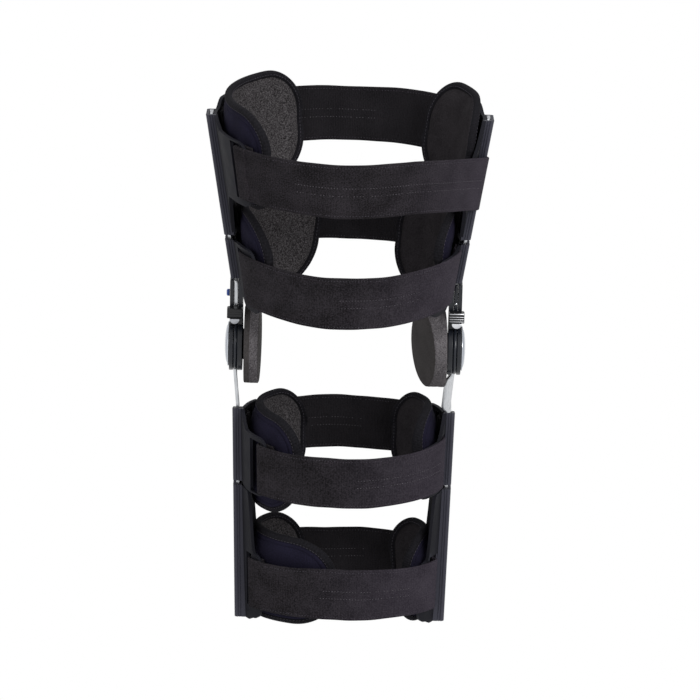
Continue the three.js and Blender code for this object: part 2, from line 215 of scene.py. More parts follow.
@dataclass(frozen=True)
class ClothFinish(Finish):
    """A cloth: dark yarn with lighter fibre ends on it, and ribs from its weave or knit.

    Sizes are in millimetres of cloth. They follow the cloth's own run, so the weave turns with a strap.
    """

    dark: str
    light: str
    flecks: float
    fleck_mm: float
    rib_mm: float
    rib_along: str
    rib_depth_mm: float
    relief_mm: float
    sheen: float
    rib_tint: float = 0.1
    roughness: float = 0.92
    mottle_mm: float = 22.0
    # A painted light: this tint is screened over the start of the cloth's run, the strap's right end, where
    # the key light falls.
    faded: str = ""

    FADE_MM: ClassVar[float] = 165.0
    SPECULAR: ClassVar[float] = 0.06
    IOR: ClassVar[float] = 1.5
    SHEEN_ROUGHNESS: ClassVar[float] = 0.45
    MOTTLE_TINT: ClassVar[float] = 0.34
    MIDDLE_TONE: ClassVar[float] = 0.72
    RIB_WANDER: ClassVar[float] = 0.4
    # A wave texture of scale 1 repeats after this many units.
    WAVE_REPEAT: ClassVar[float] = FULL_TURN / 20

    def paint(self, tree: bpy.types.NodeTree, shader: bpy.types.Node) -> None:
        """Links fibre flecks, broad mottling and weave ribs to the shader.

        Args:
            tree: The material's nodes.
            shader: Its principled shader.
        """
        add = partial(add_node, tree)
        run = {"Vector": add("ShaderNodeAttribute", {"attribute_name": THREAD}).outputs["Vector"]}
        flecks = {"Scale": 1 / self.fleck_mm, "Detail": 2.0, "Roughness": 0.7}
        fleck = add("ShaderNodeTexNoise", flecks, run).outputs["Fac"]
        mottles = {"Scale": 1 / self.mottle_mm, "Detail": 1.0}
        mottle = add("ShaderNodeTexNoise", mottles, run).outputs["Fac"]
        ribs = {
            "bands_direction": self.rib_along,
            "Scale": self.WAVE_REPEAT / self.rib_mm,
            "Distortion": self.RIB_WANDER,
        }
        rib = add("ShaderNodeTexWave", ribs, run).outputs["Fac"]
        tint = {"operation": "MULTIPLY", 1: self.MOTTLE_TINT}
        broad = add("ShaderNodeMath", tint, {0: mottle}).outputs[0]
        tint = {"operation": "MULTIPLY_ADD", 1: self.rib_tint}
        ribbed = add("ShaderNodeMath", tint, {0: rib, 2: broad}).outputs[0]
        mix = add("ShaderNodeMath", {"operation": "ADD"}, {0: fleck, 1: ribbed}).outputs[0]
        stops = [
            (self.MIDDLE_TONE - 0.5 * self.flecks, to_linear(self.dark)),
            (self.MIDDLE_TONE + 0.5 * self.flecks, to_linear(self.light)),
        ]
        colour = add("ShaderNodeValToRGB", {"stops": stops}, {"Fac": mix}).outputs["Color"]
        depth = {"Strength": 1.0, "Distance": self.relief_mm * MM}
        fibre = add("ShaderNodeBump", depth, {"Height": fleck}).outputs["Normal"]
        depth = {"Strength": 1.0, "Distance": self.rib_depth_mm * MM}
        weave = add("ShaderNodeBump", depth, {"Height": rib, "Normal": fibre}).outputs["Normal"]
        # Painted light towards the right end of the run.
        if self.faded:
            colour = self.fade(tree, run["Vector"], colour)
        tree.links.new(colour, shader.inputs["Base Color"])
        tree.links.new(weave, shader.inputs["Normal"])
        shader.inputs["Roughness"].default_value = self.roughness
        shader.inputs["IOR"].default_value = self.IOR
        shader.inputs["Specular IOR Level"].default_value = self.SPECULAR
        shader.inputs["Sheen Weight"].default_value = self.sheen
        shader.inputs["Sheen Roughness"].default_value = self.SHEEN_ROUGHNESS
        shader.inputs["Sheen Tint"].default_value = to_linear(self.light)

    def fade(
        self, tree: bpy.types.NodeTree, run: bpy.types.NodeSocket, colour: bpy.types.NodeSocket
    ) -> bpy.types.NodeSocket:
        """Paints light onto the cloth towards the start of its run, the strap's right end, where the key
        light falls.

        Args:
            tree: The material's nodes.
            run: Where each point is on the cloth.
            colour: The colour of the cloth.

        Returns:
            The colour with painted light at that end.
        """
        add = partial(add_node, tree)
        along = add("ShaderNodeSeparateXYZ", links={"Vector": run}).outputs["X"]
        span = {
            "interpolation_type": "SMOOTHSTEP",
            "From Max": self.FADE_MM,
            "To Min": 1.0,
            "To Max": 0.0,
        }
        share = add("ShaderNodeMapRange", span, {"Value": along}).outputs["Result"]
        screen = {"data_type": "RGBA", "blend_type": "SCREEN", 7: to_linear(self.faded)}
        return add("ShaderNodeMix", screen, {0: share, 6: colour}).outputs[2]


@dataclass(frozen=True)
class MouldedFinish(Finish):
    """A moulded or coated solid: an even colour with a fine grain, a little rubbed lighter on its edges."""

    colour: str
    rubbed: str
    grain_mm: float
    grain_depth_mm: float
    roughness: float
    coat: float = 0.0
    metallic: float = 0.0
    specular: float = 0.4

    SMEAR_MM: ClassVar[float] = 14.0
    SMEAR_WEAR: ClassVar[float] = 0.04
    SMEAR_SPAN: ClassVar[tuple[float, float]] = (0.3, 0.7)
    EDGE_SPAN: ClassVar[tuple[float, float]] = (0.52, 0.62)
    GLOSS_SPREAD: ClassVar[float] = 0.06
    COAT_ROUGHNESS: ClassVar[float] = 0.2

    def paint(self, tree: bpy.types.NodeTree, shader: bpy.types.Node) -> None:
        """Links the grain, the rubbed edges and uneven gloss to the shader.

        Args:
            tree: The material's nodes.
            shader: Its principled shader.
        """
        add = partial(add_node, tree)
        place = {"Vector": add("ShaderNodeTexCoord").outputs["Object"]}
        grains = {"Scale": 1 / (self.grain_mm * MM), "Detail": 2.0}
        grain = add("ShaderNodeTexNoise", grains, place).outputs["Fac"]
        smears = {"Scale": 1 / (self.SMEAR_MM * MM), "Detail": 3.0}
        smear = add("ShaderNodeTexNoise", smears, place).outputs["Fac"]
        edge = add("ShaderNodeNewGeometry").outputs["Pointiness"]
        wear = {"operation": "MULTIPLY_ADD", 1: self.SMEAR_WEAR}
        worn = add("ShaderNodeMath", wear, {0: smear, 2: edge}).outputs[0]
        stops = list(zip(self.EDGE_SPAN, (to_linear(self.colour), to_linear(self.rubbed))))
        colour = add("ShaderNodeValToRGB", {"stops": stops}, {"Fac": worn}).outputs["Color"]
        span = {
            "From Min": self.SMEAR_SPAN[0],
            "From Max": self.SMEAR_SPAN[1],
            "To Min": self.roughness - self.GLOSS_SPREAD,
            "To Max": self.roughness + self.GLOSS_SPREAD,
        }
        gloss = add("ShaderNodeMapRange", span, {"Value": smear}).outputs["Result"]
        depth = {"Strength": 1.0, "Distance": self.grain_depth_mm * MM}
        relief = add("ShaderNodeBump", depth, {"Height": grain}).outputs["Normal"]
        tree.links.new(colour, shader.inputs["Base Color"])
        tree.links.new(gloss, shader.inputs["Roughness"])
        tree.links.new(relief, shader.inputs["Normal"])
        shader.inputs["Metallic"].default_value = self.metallic
        shader.inputs["Specular IOR Level"].default_value = self.specular
        shader.inputs["Coat Weight"].default_value = self.coat
        shader.inputs["Coat Roughness"].default_value = self.COAT_ROUGHNESS


@dataclass(frozen=True)
class BrushedFinish(Finish):
    """A metal brushed along its length: fine bright lines with an uneven gloss."""

    colour: str
    shade: str
    line_mm: float
    line_depth_mm: float
    roughness: float

    STRETCH: ClassVar[float] = 0.04
    LINE_SPAN: ClassVar[tuple[float, float]] = (0.3, 0.7)
    SMOOTHER: ClassVar[float] = 0.05
    ROUGHER: ClassVar[float] = 0.08

    def paint(self, tree: bpy.types.NodeTree, shader: bpy.types.Node) -> None:
        """Links the brush lines to the shader's colour, gloss and relief.

        Args:
            tree: The material's nodes.
            shader: Its principled shader.
        """
        add = partial(add_node, tree)
        place = add("ShaderNodeTexCoord").outputs["Object"]
        stretch = {"Scale": (1.0, 1.0, self.STRETCH)}
        drawn = add("ShaderNodeMapping", stretch, {"Vector": place}).outputs["Vector"]
        strokes = {"Scale": 1 / (self.line_mm * MM), "Detail": 3.0}
        lines = add("ShaderNodeTexNoise", strokes, {"Vector": drawn}).outputs["Fac"]
        stops = list(zip(self.LINE_SPAN, (to_linear(self.shade), to_linear(self.colour))))
        colour = add("ShaderNodeValToRGB", {"stops": stops}, {"Fac": lines}).outputs["Color"]
        span = {
            "From Min": self.LINE_SPAN[0],
            "From Max": self.LINE_SPAN[1],
            "To Min": self.roughness - self.SMOOTHER,
            "To Max": self.roughness + self.ROUGHER,
        }
        gloss = add("ShaderNodeMapRange", span, {"Value": lines}).outputs["Result"]
        depth = {"Strength": 1.0, "Distance": self.line_depth_mm * MM}
        relief = add("ShaderNodeBump", depth, {"Height": lines}).outputs["Normal"]
        tree.links.new(colour, shader.inputs["Base Color"])
        tree.links.new(gloss, shader.inputs["Roughness"])
        tree.links.new(relief, shader.inputs["Normal"])
        shader.inputs["Metallic"].default_value = 1.0


# Polyamide loop fabric, knitted and brushed: a matt black pile with paler fibre ends. The loops are
# about 0.3 mm, drawn as 1 mm so that they show.
# Its tint for the start of the run paints the light that falls on each front strap's right end.
BRUSHED_LOOP = ClothFinish(
    name="brushed_polyamide_loop", slot="loop_cloth", dark="#0d0c0d", light="#2d2a2e", flecks=0.39,
    fleck_mm=1.05, rib_mm=2.2, rib_along="X", rib_depth_mm=0.05, relief_mm=0.35, sheen=0.03,
    rib_tint=0.05, faded="#211d25",
)
# Polyester webbing, woven: darker and flatter than the pile, with fine ribs across its width.
POLYESTER_WEBBING = ClothFinish(
    name="woven_polyester_webbing", slot="webbing", dark="#100f11", light="#252326", flecks=0.5,
    fleck_mm=1.0, rib_mm=1.5, rib_along="X", rib_depth_mm=0.14, relief_mm=0.12, sheen=0.02,
)
# Polyamide jersey on foam, knitted: smooth navy with upright wales.
NAVY_JERSEY = ClothFinish(
    name="knitted_polyamide_jersey", slot="pad_cloth", dark="#0e0d15", light="#1e1c2c", flecks=0.6,
    fleck_mm=0.9, rib_mm=1.2, rib_along="X", rib_depth_mm=0.07, relief_mm=0.1, sheen=0.03,
)
# Polyester fleece, brushed: charcoal with pale flecks. The tufts are drawn as 1 mm so that they show.
CHARCOAL_FLEECE = ClothFinish(
    name="brushed_polyester_fleece", slot="foam", dark="#1a1819", light="#575456", flecks=0.3,
    fleck_mm=1.0, rib_mm=2.6, rib_along="Y", rib_depth_mm=0.01, relief_mm=0.4, sheen=0.03, rib_tint=0.0,
    mottle_mm=400.0,
)
# The same fleece with a shorter pile, drawn darker: painted shade on the right pads' inner faces, which turn
# from the key light.
SHADED_FLEECE = ClothFinish(
    name="short_polyester_fleece", slot="foam", dark="#191719", light="#343134", flecks=0.6,
    fleck_mm=1.0, rib_mm=2.6, rib_along="Y", rib_depth_mm=0.01, relief_mm=0.2, sheen=0.03, rib_tint=0.0,
)
# Polyamide binding tape, woven: near black, with ribs across the tape.
BINDING_TAPE = ClothFinish(
    name="woven_polyamide_tape", slot="pad_cloth", dark="#0a0a0c", light="#201f23", flecks=0.6,
    fleck_mm=0.8, rib_mm=1.4, rib_along="X", rib_depth_mm=0.16, relief_mm=0.1, sheen=0.02,
)
# Closed-cell foam with mixed chips, cut: a matt grey edge full of pale and dark specks.
CHIP_FOAM = ClothFinish(
    name="cut_chip_foam", slot="foam", dark="#201e20", light="#7b777a", flecks=0.5,
    fleck_mm=0.8, rib_mm=5.0, rib_along="Y", rib_depth_mm=0.01, relief_mm=0.5, sheen=0.0, rib_tint=0.0,
)
# Closed-cell foam, skived: a smooth brown-black face with little grain.
FOAM_SKIN = ClothFinish(
    name="skived_foam_skin", slot="foam", dark="#272525", light="#4a4747", flecks=0.7,
    fleck_mm=1.0, rib_mm=5.0, rib_along="Y", rib_depth_mm=0.01, relief_mm=0.1, sheen=0.0, rib_tint=0.0,
)
# Polyester thread, spun: pale grey against the black cloth, unevenly drawn into the pile.
PALE_THREAD = ClothFinish(
    name="spun_polyester_thread", slot="loop_cloth", dark="#211f22", light="#615e63", flecks=0.7,
    fleck_mm=2.5, rib_mm=0.8, rib_along="X", rib_depth_mm=0.05, relief_mm=0.05, sheen=0.02,
    mottle_mm=12.0,
)
# The same thread dyed black, on the pads' binding and along the straps' edges. It is drawn lighter than
# black: a painted highlight along the binding and the strap edges.
HIGHLIT_BLACK_THREAD = ClothFinish(
    name="black_polyester_thread", slot="pad_cloth", dark="#232126", light="#4c4950", flecks=0.8,
    fleck_mm=0.8, rib_mm=0.8, rib_along="X", rib_depth_mm=0.05, relief_mm=0.05, sheen=0.02,
)
# Glass-filled polyamide, moulded: blue-black with a spark-eroded grain and a soft gloss.
MOULDED_POLYAMIDE = MouldedFinish(
    name="moulded_polyamide", slot="bracket_plastic", colour="#2a2a33", rubbed="#36363f",
    grain_mm=0.9, grain_depth_mm=0.03, roughness=0.55, specular=0.18,
)
# The same polyamide on the thin wings, drawn nearly black and matt, darker than the spine.
MATT_POLYAMIDE = MouldedFinish(
    name="etched_mould_polyamide", slot="bracket_plastic", colour="#131318", rubbed="#1e1e25",
    grain_mm=0.9, grain_depth_mm=0.03, roughness=0.65, specular=0.1,
)
# Acetal, moulded: black, with a clear shine on its edges.
BLACK_ACETAL = MouldedFinish(
    name="moulded_black_acetal", slot="bracket_plastic", colour="#09090b", rubbed="#17171a",
    grain_mm=0.8, grain_depth_mm=0.006, roughness=0.32, specular=0.35,
)
# Steel, pressed and chromed: the domed caps, which mirror the white room.
CHROMED_STEEL = MouldedFinish(
    name="chromed_pressed_steel", slot="hinge_black", colour="#9ba0a9", rubbed="#c4c8ce",
    grain_mm=0.8, grain_depth_mm=0.004, roughness=0.2, metallic=1.0, specular=0.5,
)
# Steel plate, coated: satin black with bluish reflections.
COATED_STEEL = MouldedFinish(
    name="coated_steel_plate", slot="hinge_black", colour="#0b0c11", rubbed="#20242c",
    grain_mm=0.6, grain_depth_mm=0.008, roughness=0.3, coat=0.15, specular=0.3,
)
# Zinc, die-cast and plated: bright grey with a soft shine. On the right slider's ribs it is a painted
# highlight.
PLATED_ZINC = MouldedFinish(
    name="plated_zinc", slot="tongue_grey", colour="#b3b5ba", rubbed="#d6d7da",
    grain_mm=0.8, grain_depth_mm=0.01, roughness=0.3, metallic=1.0, specular=0.5,
)
# The same zinc drawn mid grey: painted shade for the left tongue, which lies away from the key light.
SHADED_ZINC = MouldedFinish(
    name="dulled_zinc", slot="tongue_grey", colour="#75777d", rubbed="#a9abb0",
    grain_mm=0.8, grain_depth_mm=0.01, roughness=0.32, metallic=1.0, specular=0.5,
)
# ABS, moulded: smooth dark blue with a clear shine.
BLUE_ABS = MouldedFinish(
    name="moulded_blue_abs", slot="button_blue", colour="#122b6b", rubbed="#27498f",
    grain_mm=1.0, grain_depth_mm=0.005, roughness=0.25, coat=0.2,
)
# Aluminium, extruded, brushed and anodised: pale grey, with lines along the bar.
ANODISED_ALUMINIUM = BrushedFinish(
    name="anodised_aluminium", slot="aluminium", colour="#d2d4d7", shade="#a3a6aa",
    line_mm=0.5, line_depth_mm=0.01, roughness=0.3,
)
# Stainless steel, turned: the pins and rivets.
TURNED_STEEL = BrushedFinish(
    name="turned_stainless_steel", slot="pin_steel", colour="#c6c8cb", shade="#9a9ca0",
    line_mm=0.4, line_depth_mm=0.008, roughness=0.25,
)


# Meshes


@dataclass
class Draft:
    """A piece's points and faces while it is put together, in mm from the knee axis."""

    points: list[np.ndarray] = field(default_factory=list)
    threads: list[np.ndarray] = field(default_factory=list)
    faces: Faces = field(default_factory=list)
    finish_of: list[int] = field(default_factory=list)
    count: int = 0

    def add(
        self,
        points: np.ndarray,
        faces: Iterable[tuple[int, ...]],
        finish: int | Sequence[int] = 0,
        threads: np.ndarray | None = None,
    ) -> None:
        """Adds a shell.

        Args:
            points: Its points, one a row.
            faces: Its faces, as indices into those points.
            finish: The finish of all its faces, or one for each.
            threads: Where each point is on the cloth, or the points themselves.
        """
        faces = list(faces)
        self.points.append(points)
        self.threads.append(points if threads is None else threads)
        self.faces.extend(tuple(i + self.count for i in face) for face in faces)
        self.finish_of.extend([finish] * len(faces) if isinstance(finish, int) else finish)
        self.count += len(points)


def ring_faces(rings: int, spokes: int, caps: bool = True) -> Faces:
    """The faces of a loft through closed rings of points.

    Args:
        rings: How many rings there are, one after another.
        spokes: How many points each ring has.
        caps: Whether the first and last rings are filled.

    Returns:
        Quads between the rings, and the two caps.
    """
    faces: Faces = []
    for ring in range(rings - 1):
        near, far = ring * spokes, (ring + 1) * spokes
        for spoke in range(spokes):
            after = (spoke + 1) % spokes
            faces.append((near + spoke, near + after, far + after, far + spoke))
    if caps:
        faces.append(tuple(range(spokes)))
        faces.append(tuple(range((rings - 1) * spokes, rings * spokes)))
    return faces


def fan_ends(faces: Faces, rings: int, spokes: int) -> Faces:
    """Closes a loft at a single point past each end.

    Args:
        faces: The loft's faces without caps.
        rings: How many rings it has.
        spokes: How many points each ring has.

    Returns:
        The faces with two fans. The end points follow the rings' points.
    """
    first, last = rings * spokes, rings * spokes + 1
    tail = (rings - 1) * spokes
    closed = list(faces)
    for spoke in range(spokes):
        after = (spoke + 1) % spokes
        closed.append((spoke, after, first))
        closed.append((tail + spoke, tail + after, last))
    return closed


def smooth_line(stops: Sequence[Sequence[float]], count: int) -> np.ndarray:
    """A smooth line through a few points.

    Args:
        stops: The points that it passes.
        count: How many points it gets between two stops.

    Returns:
        The points of the line.
    """
    knots = np.asarray(stops, float)
    ends = np.vstack([2 * knots[0] - knots[1], knots, 2 * knots[-1] - knots[-2]])
    share = np.linspace(0, 1, count, endpoint=False)[:, None]
    runs = []
    for a, b, c, d in zip(ends, ends[1:], ends[2:], ends[3:]):
        square = (2 * a - 5 * b + 4 * c - d) * share**2
        cubic = (3 * b - a - 3 * c + d) * share**3
        runs.append(0.5 * (2 * b + (c - a) * share + square + cubic))
    return np.vstack([*runs, knots[-1:]])


def rounded_box(low: Sequence[float], high: Sequence[float], radius: float, steps: int = 4) -> np.ndarray:
    """The outline of a rectangle with round corners.

    Args:
        low: Its lowest corner.
        high: Its highest corner.
        radius: The radius of its corners.
        steps: How many points each corner has past its first.

    Returns:
        The outline's points, in two columns.
    """
    inner_low, inner_high = np.asarray(low) + radius, np.asarray(high) - radius
    corners = [
        (inner_high[0], inner_high[1], 0),
        (inner_low[0], inner_high[1], 1),
        (inner_low[0], inner_low[1], 2),
        (inner_high[0], inner_low[1], 3),
    ]
    points = []
    for x, y, quarter in corners:
        for step in range(steps + 1):
            turn = (quarter + step / steps) * QUARTER_TURN
            points.append((x + radius * math.cos(turn), y + radius * math.sin(turn)))
    return np.array(points)


def lathe_along_x(profile: Sequence[Sequence[float]], spokes: int) -> Shell:
    """A round form turned about an axis along X.

    Args:
        profile: Its distances along X and from the axis, between two points on the axis.
        spokes: How many points go round it.

    Returns:
        Its points and faces.
    """
    turn = np.arange(spokes) * FULL_TURN / spokes
    rows = [
        np.column_stack([np.full(spokes, x), r * np.cos(turn), r * np.sin(turn)])
        for x, r in profile[1:-1]
    ]
    ends = np.array([[profile[0][0], 0, 0], [profile[-1][0], 0, 0]])
    faces = fan_ends(ring_faces(len(rows), spokes, caps=False), len(rows), spokes)
    return np.vstack([*rows, ends]), faces


def prism(outline: np.ndarray, axis: int, low: float, high: float) -> Shell:
    """A flat shape made thick along one axis.

    Args:
        outline: The shape, in the other two axes in their order.
        axis: The axis that it is thick along.
        low: Where it starts on that axis.
        high: Where it ends.

    Returns:
        Its points and faces.
    """
    rings = [np.insert(outline, axis, place, axis=1) for place in (low, high)]
    return np.vstack(rings), ring_faces(2, len(outline))


@dataclass(frozen=True)
class Workbench:
    """Where pieces are put together and placed on the frame."""

    knee: np.ndarray

    BEVEL_STEPS: ClassVar[int] = 2
    SHARP_DEG: ClassVar[float] = 38.0

    def piece(
        self,
        name: str,
        draft: Draft,
        finishes: Sequence[Finish],
        body: str,
        replaces: Sequence[str] = (),
        bevel_mm: float = 0.0,
        side: Side = Side.RIGHT,
    ) -> bpy.types.Object:
        """Makes a piece from a draft and sets it on its body.

        Args:
            name: The piece's name.
            draft: Its points and faces.
            finishes: Its finishes, in the order that the draft numbers them.
            body: The body that it rides on.
            replaces: The nodes that it stands for.
            bevel_mm: How far its sharp edges are rounded.
            side: The left side mirrors the draft.

        Returns:
            The piece.
        """
        points = np.vstack(draft.points) * (side.value, 1, 1)
        mesh = bpy.data.meshes.new(name)
        mesh.from_pydata(points * MM + self.knee, [], draft.faces)
        mesh.polygons.foreach_set("material_index", draft.finish_of)
        for finish in finishes:
            mesh.materials.append(finish.material())
        run = mesh.attributes.new(THREAD, "FLOAT_VECTOR", "POINT")
        run.data.foreach_set("vector", np.vstack(draft.threads).astype(np.float32).ravel())
        shell = bmesh.new()
        shell.from_mesh(mesh)
        bmesh.ops.recalc_face_normals(shell, faces=shell.faces)
        shell.to_mesh(mesh)
        shell.free()
        made = bpy.data.objects.new(name, mesh)
        bpy.context.scene.collection.objects.link(made)
        mesh.polygons.foreach_set("use_smooth", [True] * len(mesh.polygons))
        if bevel_mm:
            self.round_edges(made, bevel_mm)
        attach(made, body)
        if replaces:
            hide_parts(*replaces)
        log.info("%s: %d faces", name, len(made.data.polygons))
        return made

    def round_edges(self, piece: bpy.types.Object, bevel_mm: float) -> None:
        """Rounds a piece's sharp edges.

        Args:
            piece: The piece, whose mesh is changed.
            bevel_mm: How far from an edge the rounding starts.
        """
        bevel = piece.modifiers.new("edges", "BEVEL")
        bevel.width = bevel_mm * MM
        bevel.segments = self.BEVEL_STEPS
        bevel.limit_method = "ANGLE"
        bevel.angle_limit = math.radians(self.SHARP_DEG)
        bevel.harden_normals = True
        settle_modifiers(piece)


def settle_modifiers(piece: bpy.types.Object) -> None:
    """Puts what a piece's modifiers give into its mesh and clears them.

    Args:
        piece: The piece, whose mesh is replaced.
    """
    bpy.context.view_layer.update()
    shown = piece.evaluated_get(bpy.context.evaluated_depsgraph_get())
    mesh = bpy.data.meshes.new_from_object(shown)
    piece.modifiers.clear()
    old, piece.data = piece.data, mesh
    bpy.data.meshes.remove(old)
    mesh.name = piece.name


# The leg that the cuffs follow


@dataclass(frozen=True)
class Uprights:
    """The two bars and the line that they take beside the leg."""

    width: float = 18.0
    thickness: float = 3.0
    middle: float = 93.0
    bend_z: float = 60.0
    flare: float = 0.158
    jog_top: float = -26.0
    jog_bottom: float = -52.0
    jog: float = 2.3
    taper: float = 0.0235
    seat: float = 4.8

    def x_at(self, z: np.ndarray) -> np.ndarray:
        """How far the bars' middle plane is from the middle of the leg.

        Args:
            z: Heights above the knee axis.

        Returns:
            The distance at each height.
        """
        z = np.asarray(z, float)
        step = np.clip((self.jog_top - z) / (self.jog_top - self.jog_bottom), 0, 1)
        below = self.middle - self.jog * step + self.taper * np.minimum(z - self.jog_bottom, 0)
        return np.where(z > self.bend_z, self.middle + self.flare * (z - self.bend_z), below)


UPRIGHTS = Uprights()


@dataclass(frozen=True)
class LegForm:
    """The surface round one half of the leg: an ellipse at each height, deeper in front than behind."""

    limb: Limb
    ref_z: float
    front: float
    front_slope: float
    back: float
    back_slope: float

    def half_width(self, z: np.ndarray) -> np.ndarray:
        """Half the width of the leg; the thigh runs straight on below the bars' bend.

        Args:
            z: Heights above the knee axis.

        Returns:
            Half the width at each height.
        """
        z = np.asarray(z, float)
        if self.limb is Limb.CALF:
            return UPRIGHTS.x_at(z) - UPRIGHTS.seat
        return UPRIGHTS.middle + UPRIGHTS.flare * (z - UPRIGHTS.bend_z) - UPRIGHTS.seat

    def depth(self, face: Face, z: np.ndarray) -> np.ndarray:
        """How far the surface reaches in front of or behind the bars.

        Args:
            face: The front or the back of the leg.
            z: Heights above the knee axis.

        Returns:
            The depth at each height.
        """
        if face is Face.FRONT:
            return self.front + self.front_slope * (np.asarray(z, float) - self.ref_z)
        return self.back + self.back_slope * (np.asarray(z, float) - self.ref_z)

    def points(
        self, angle: np.ndarray, z: np.ndarray, offset: np.ndarray, reach: np.ndarray | None = None
    ) -> np.ndarray:
        """Points off the right half of the surface.

        Args:
            angle: Round the leg from the bar, above 0 to the front and below 0 to the back.
            z: Heights above the knee axis.
            offset: Distances outward from the surface.
            reach: The surface's depth, where it isn't the leg's own.

        Returns:
            The points, in the last axis.
        """
        angle, z, offset = np.broadcast_arrays(angle, z, offset)
        width = self.half_width(z)
        if reach is None:
            reach = np.where(angle < 0, self.depth(Face.BACK, z), self.depth(Face.FRONT, z))
        turn = np.abs(angle)
        normal_x, normal_y = np.cos(turn) / width, np.sin(turn) / reach
        length = np.hypot(normal_x, normal_y)
        x = width * np.cos(turn) + offset * normal_x / length
        y = reach * np.sin(turn) + offset * normal_y / length
        return np.stack([x, np.where(angle < 0, y, -y), z], axis=-1)

    def angle_of(self, face: Face, z: float, distance: float) -> float:
        """The angle that a distance round the leg from the bar spans."""
        return float(2 * distance / (self.half_width(z) + self.depth(face, z)))


LEG_FORMS = {
    Limb.THIGH: LegForm(Limb.THIGH, ref_z=71, front=86, front_slope=0.109, back=57, back_slope=0.267),
    Limb.CALF: LegForm(Limb.CALF, ref_z=-96, front=71, front_slope=0.199, back=53.5, back_slope=0.067),
}


# Brackets


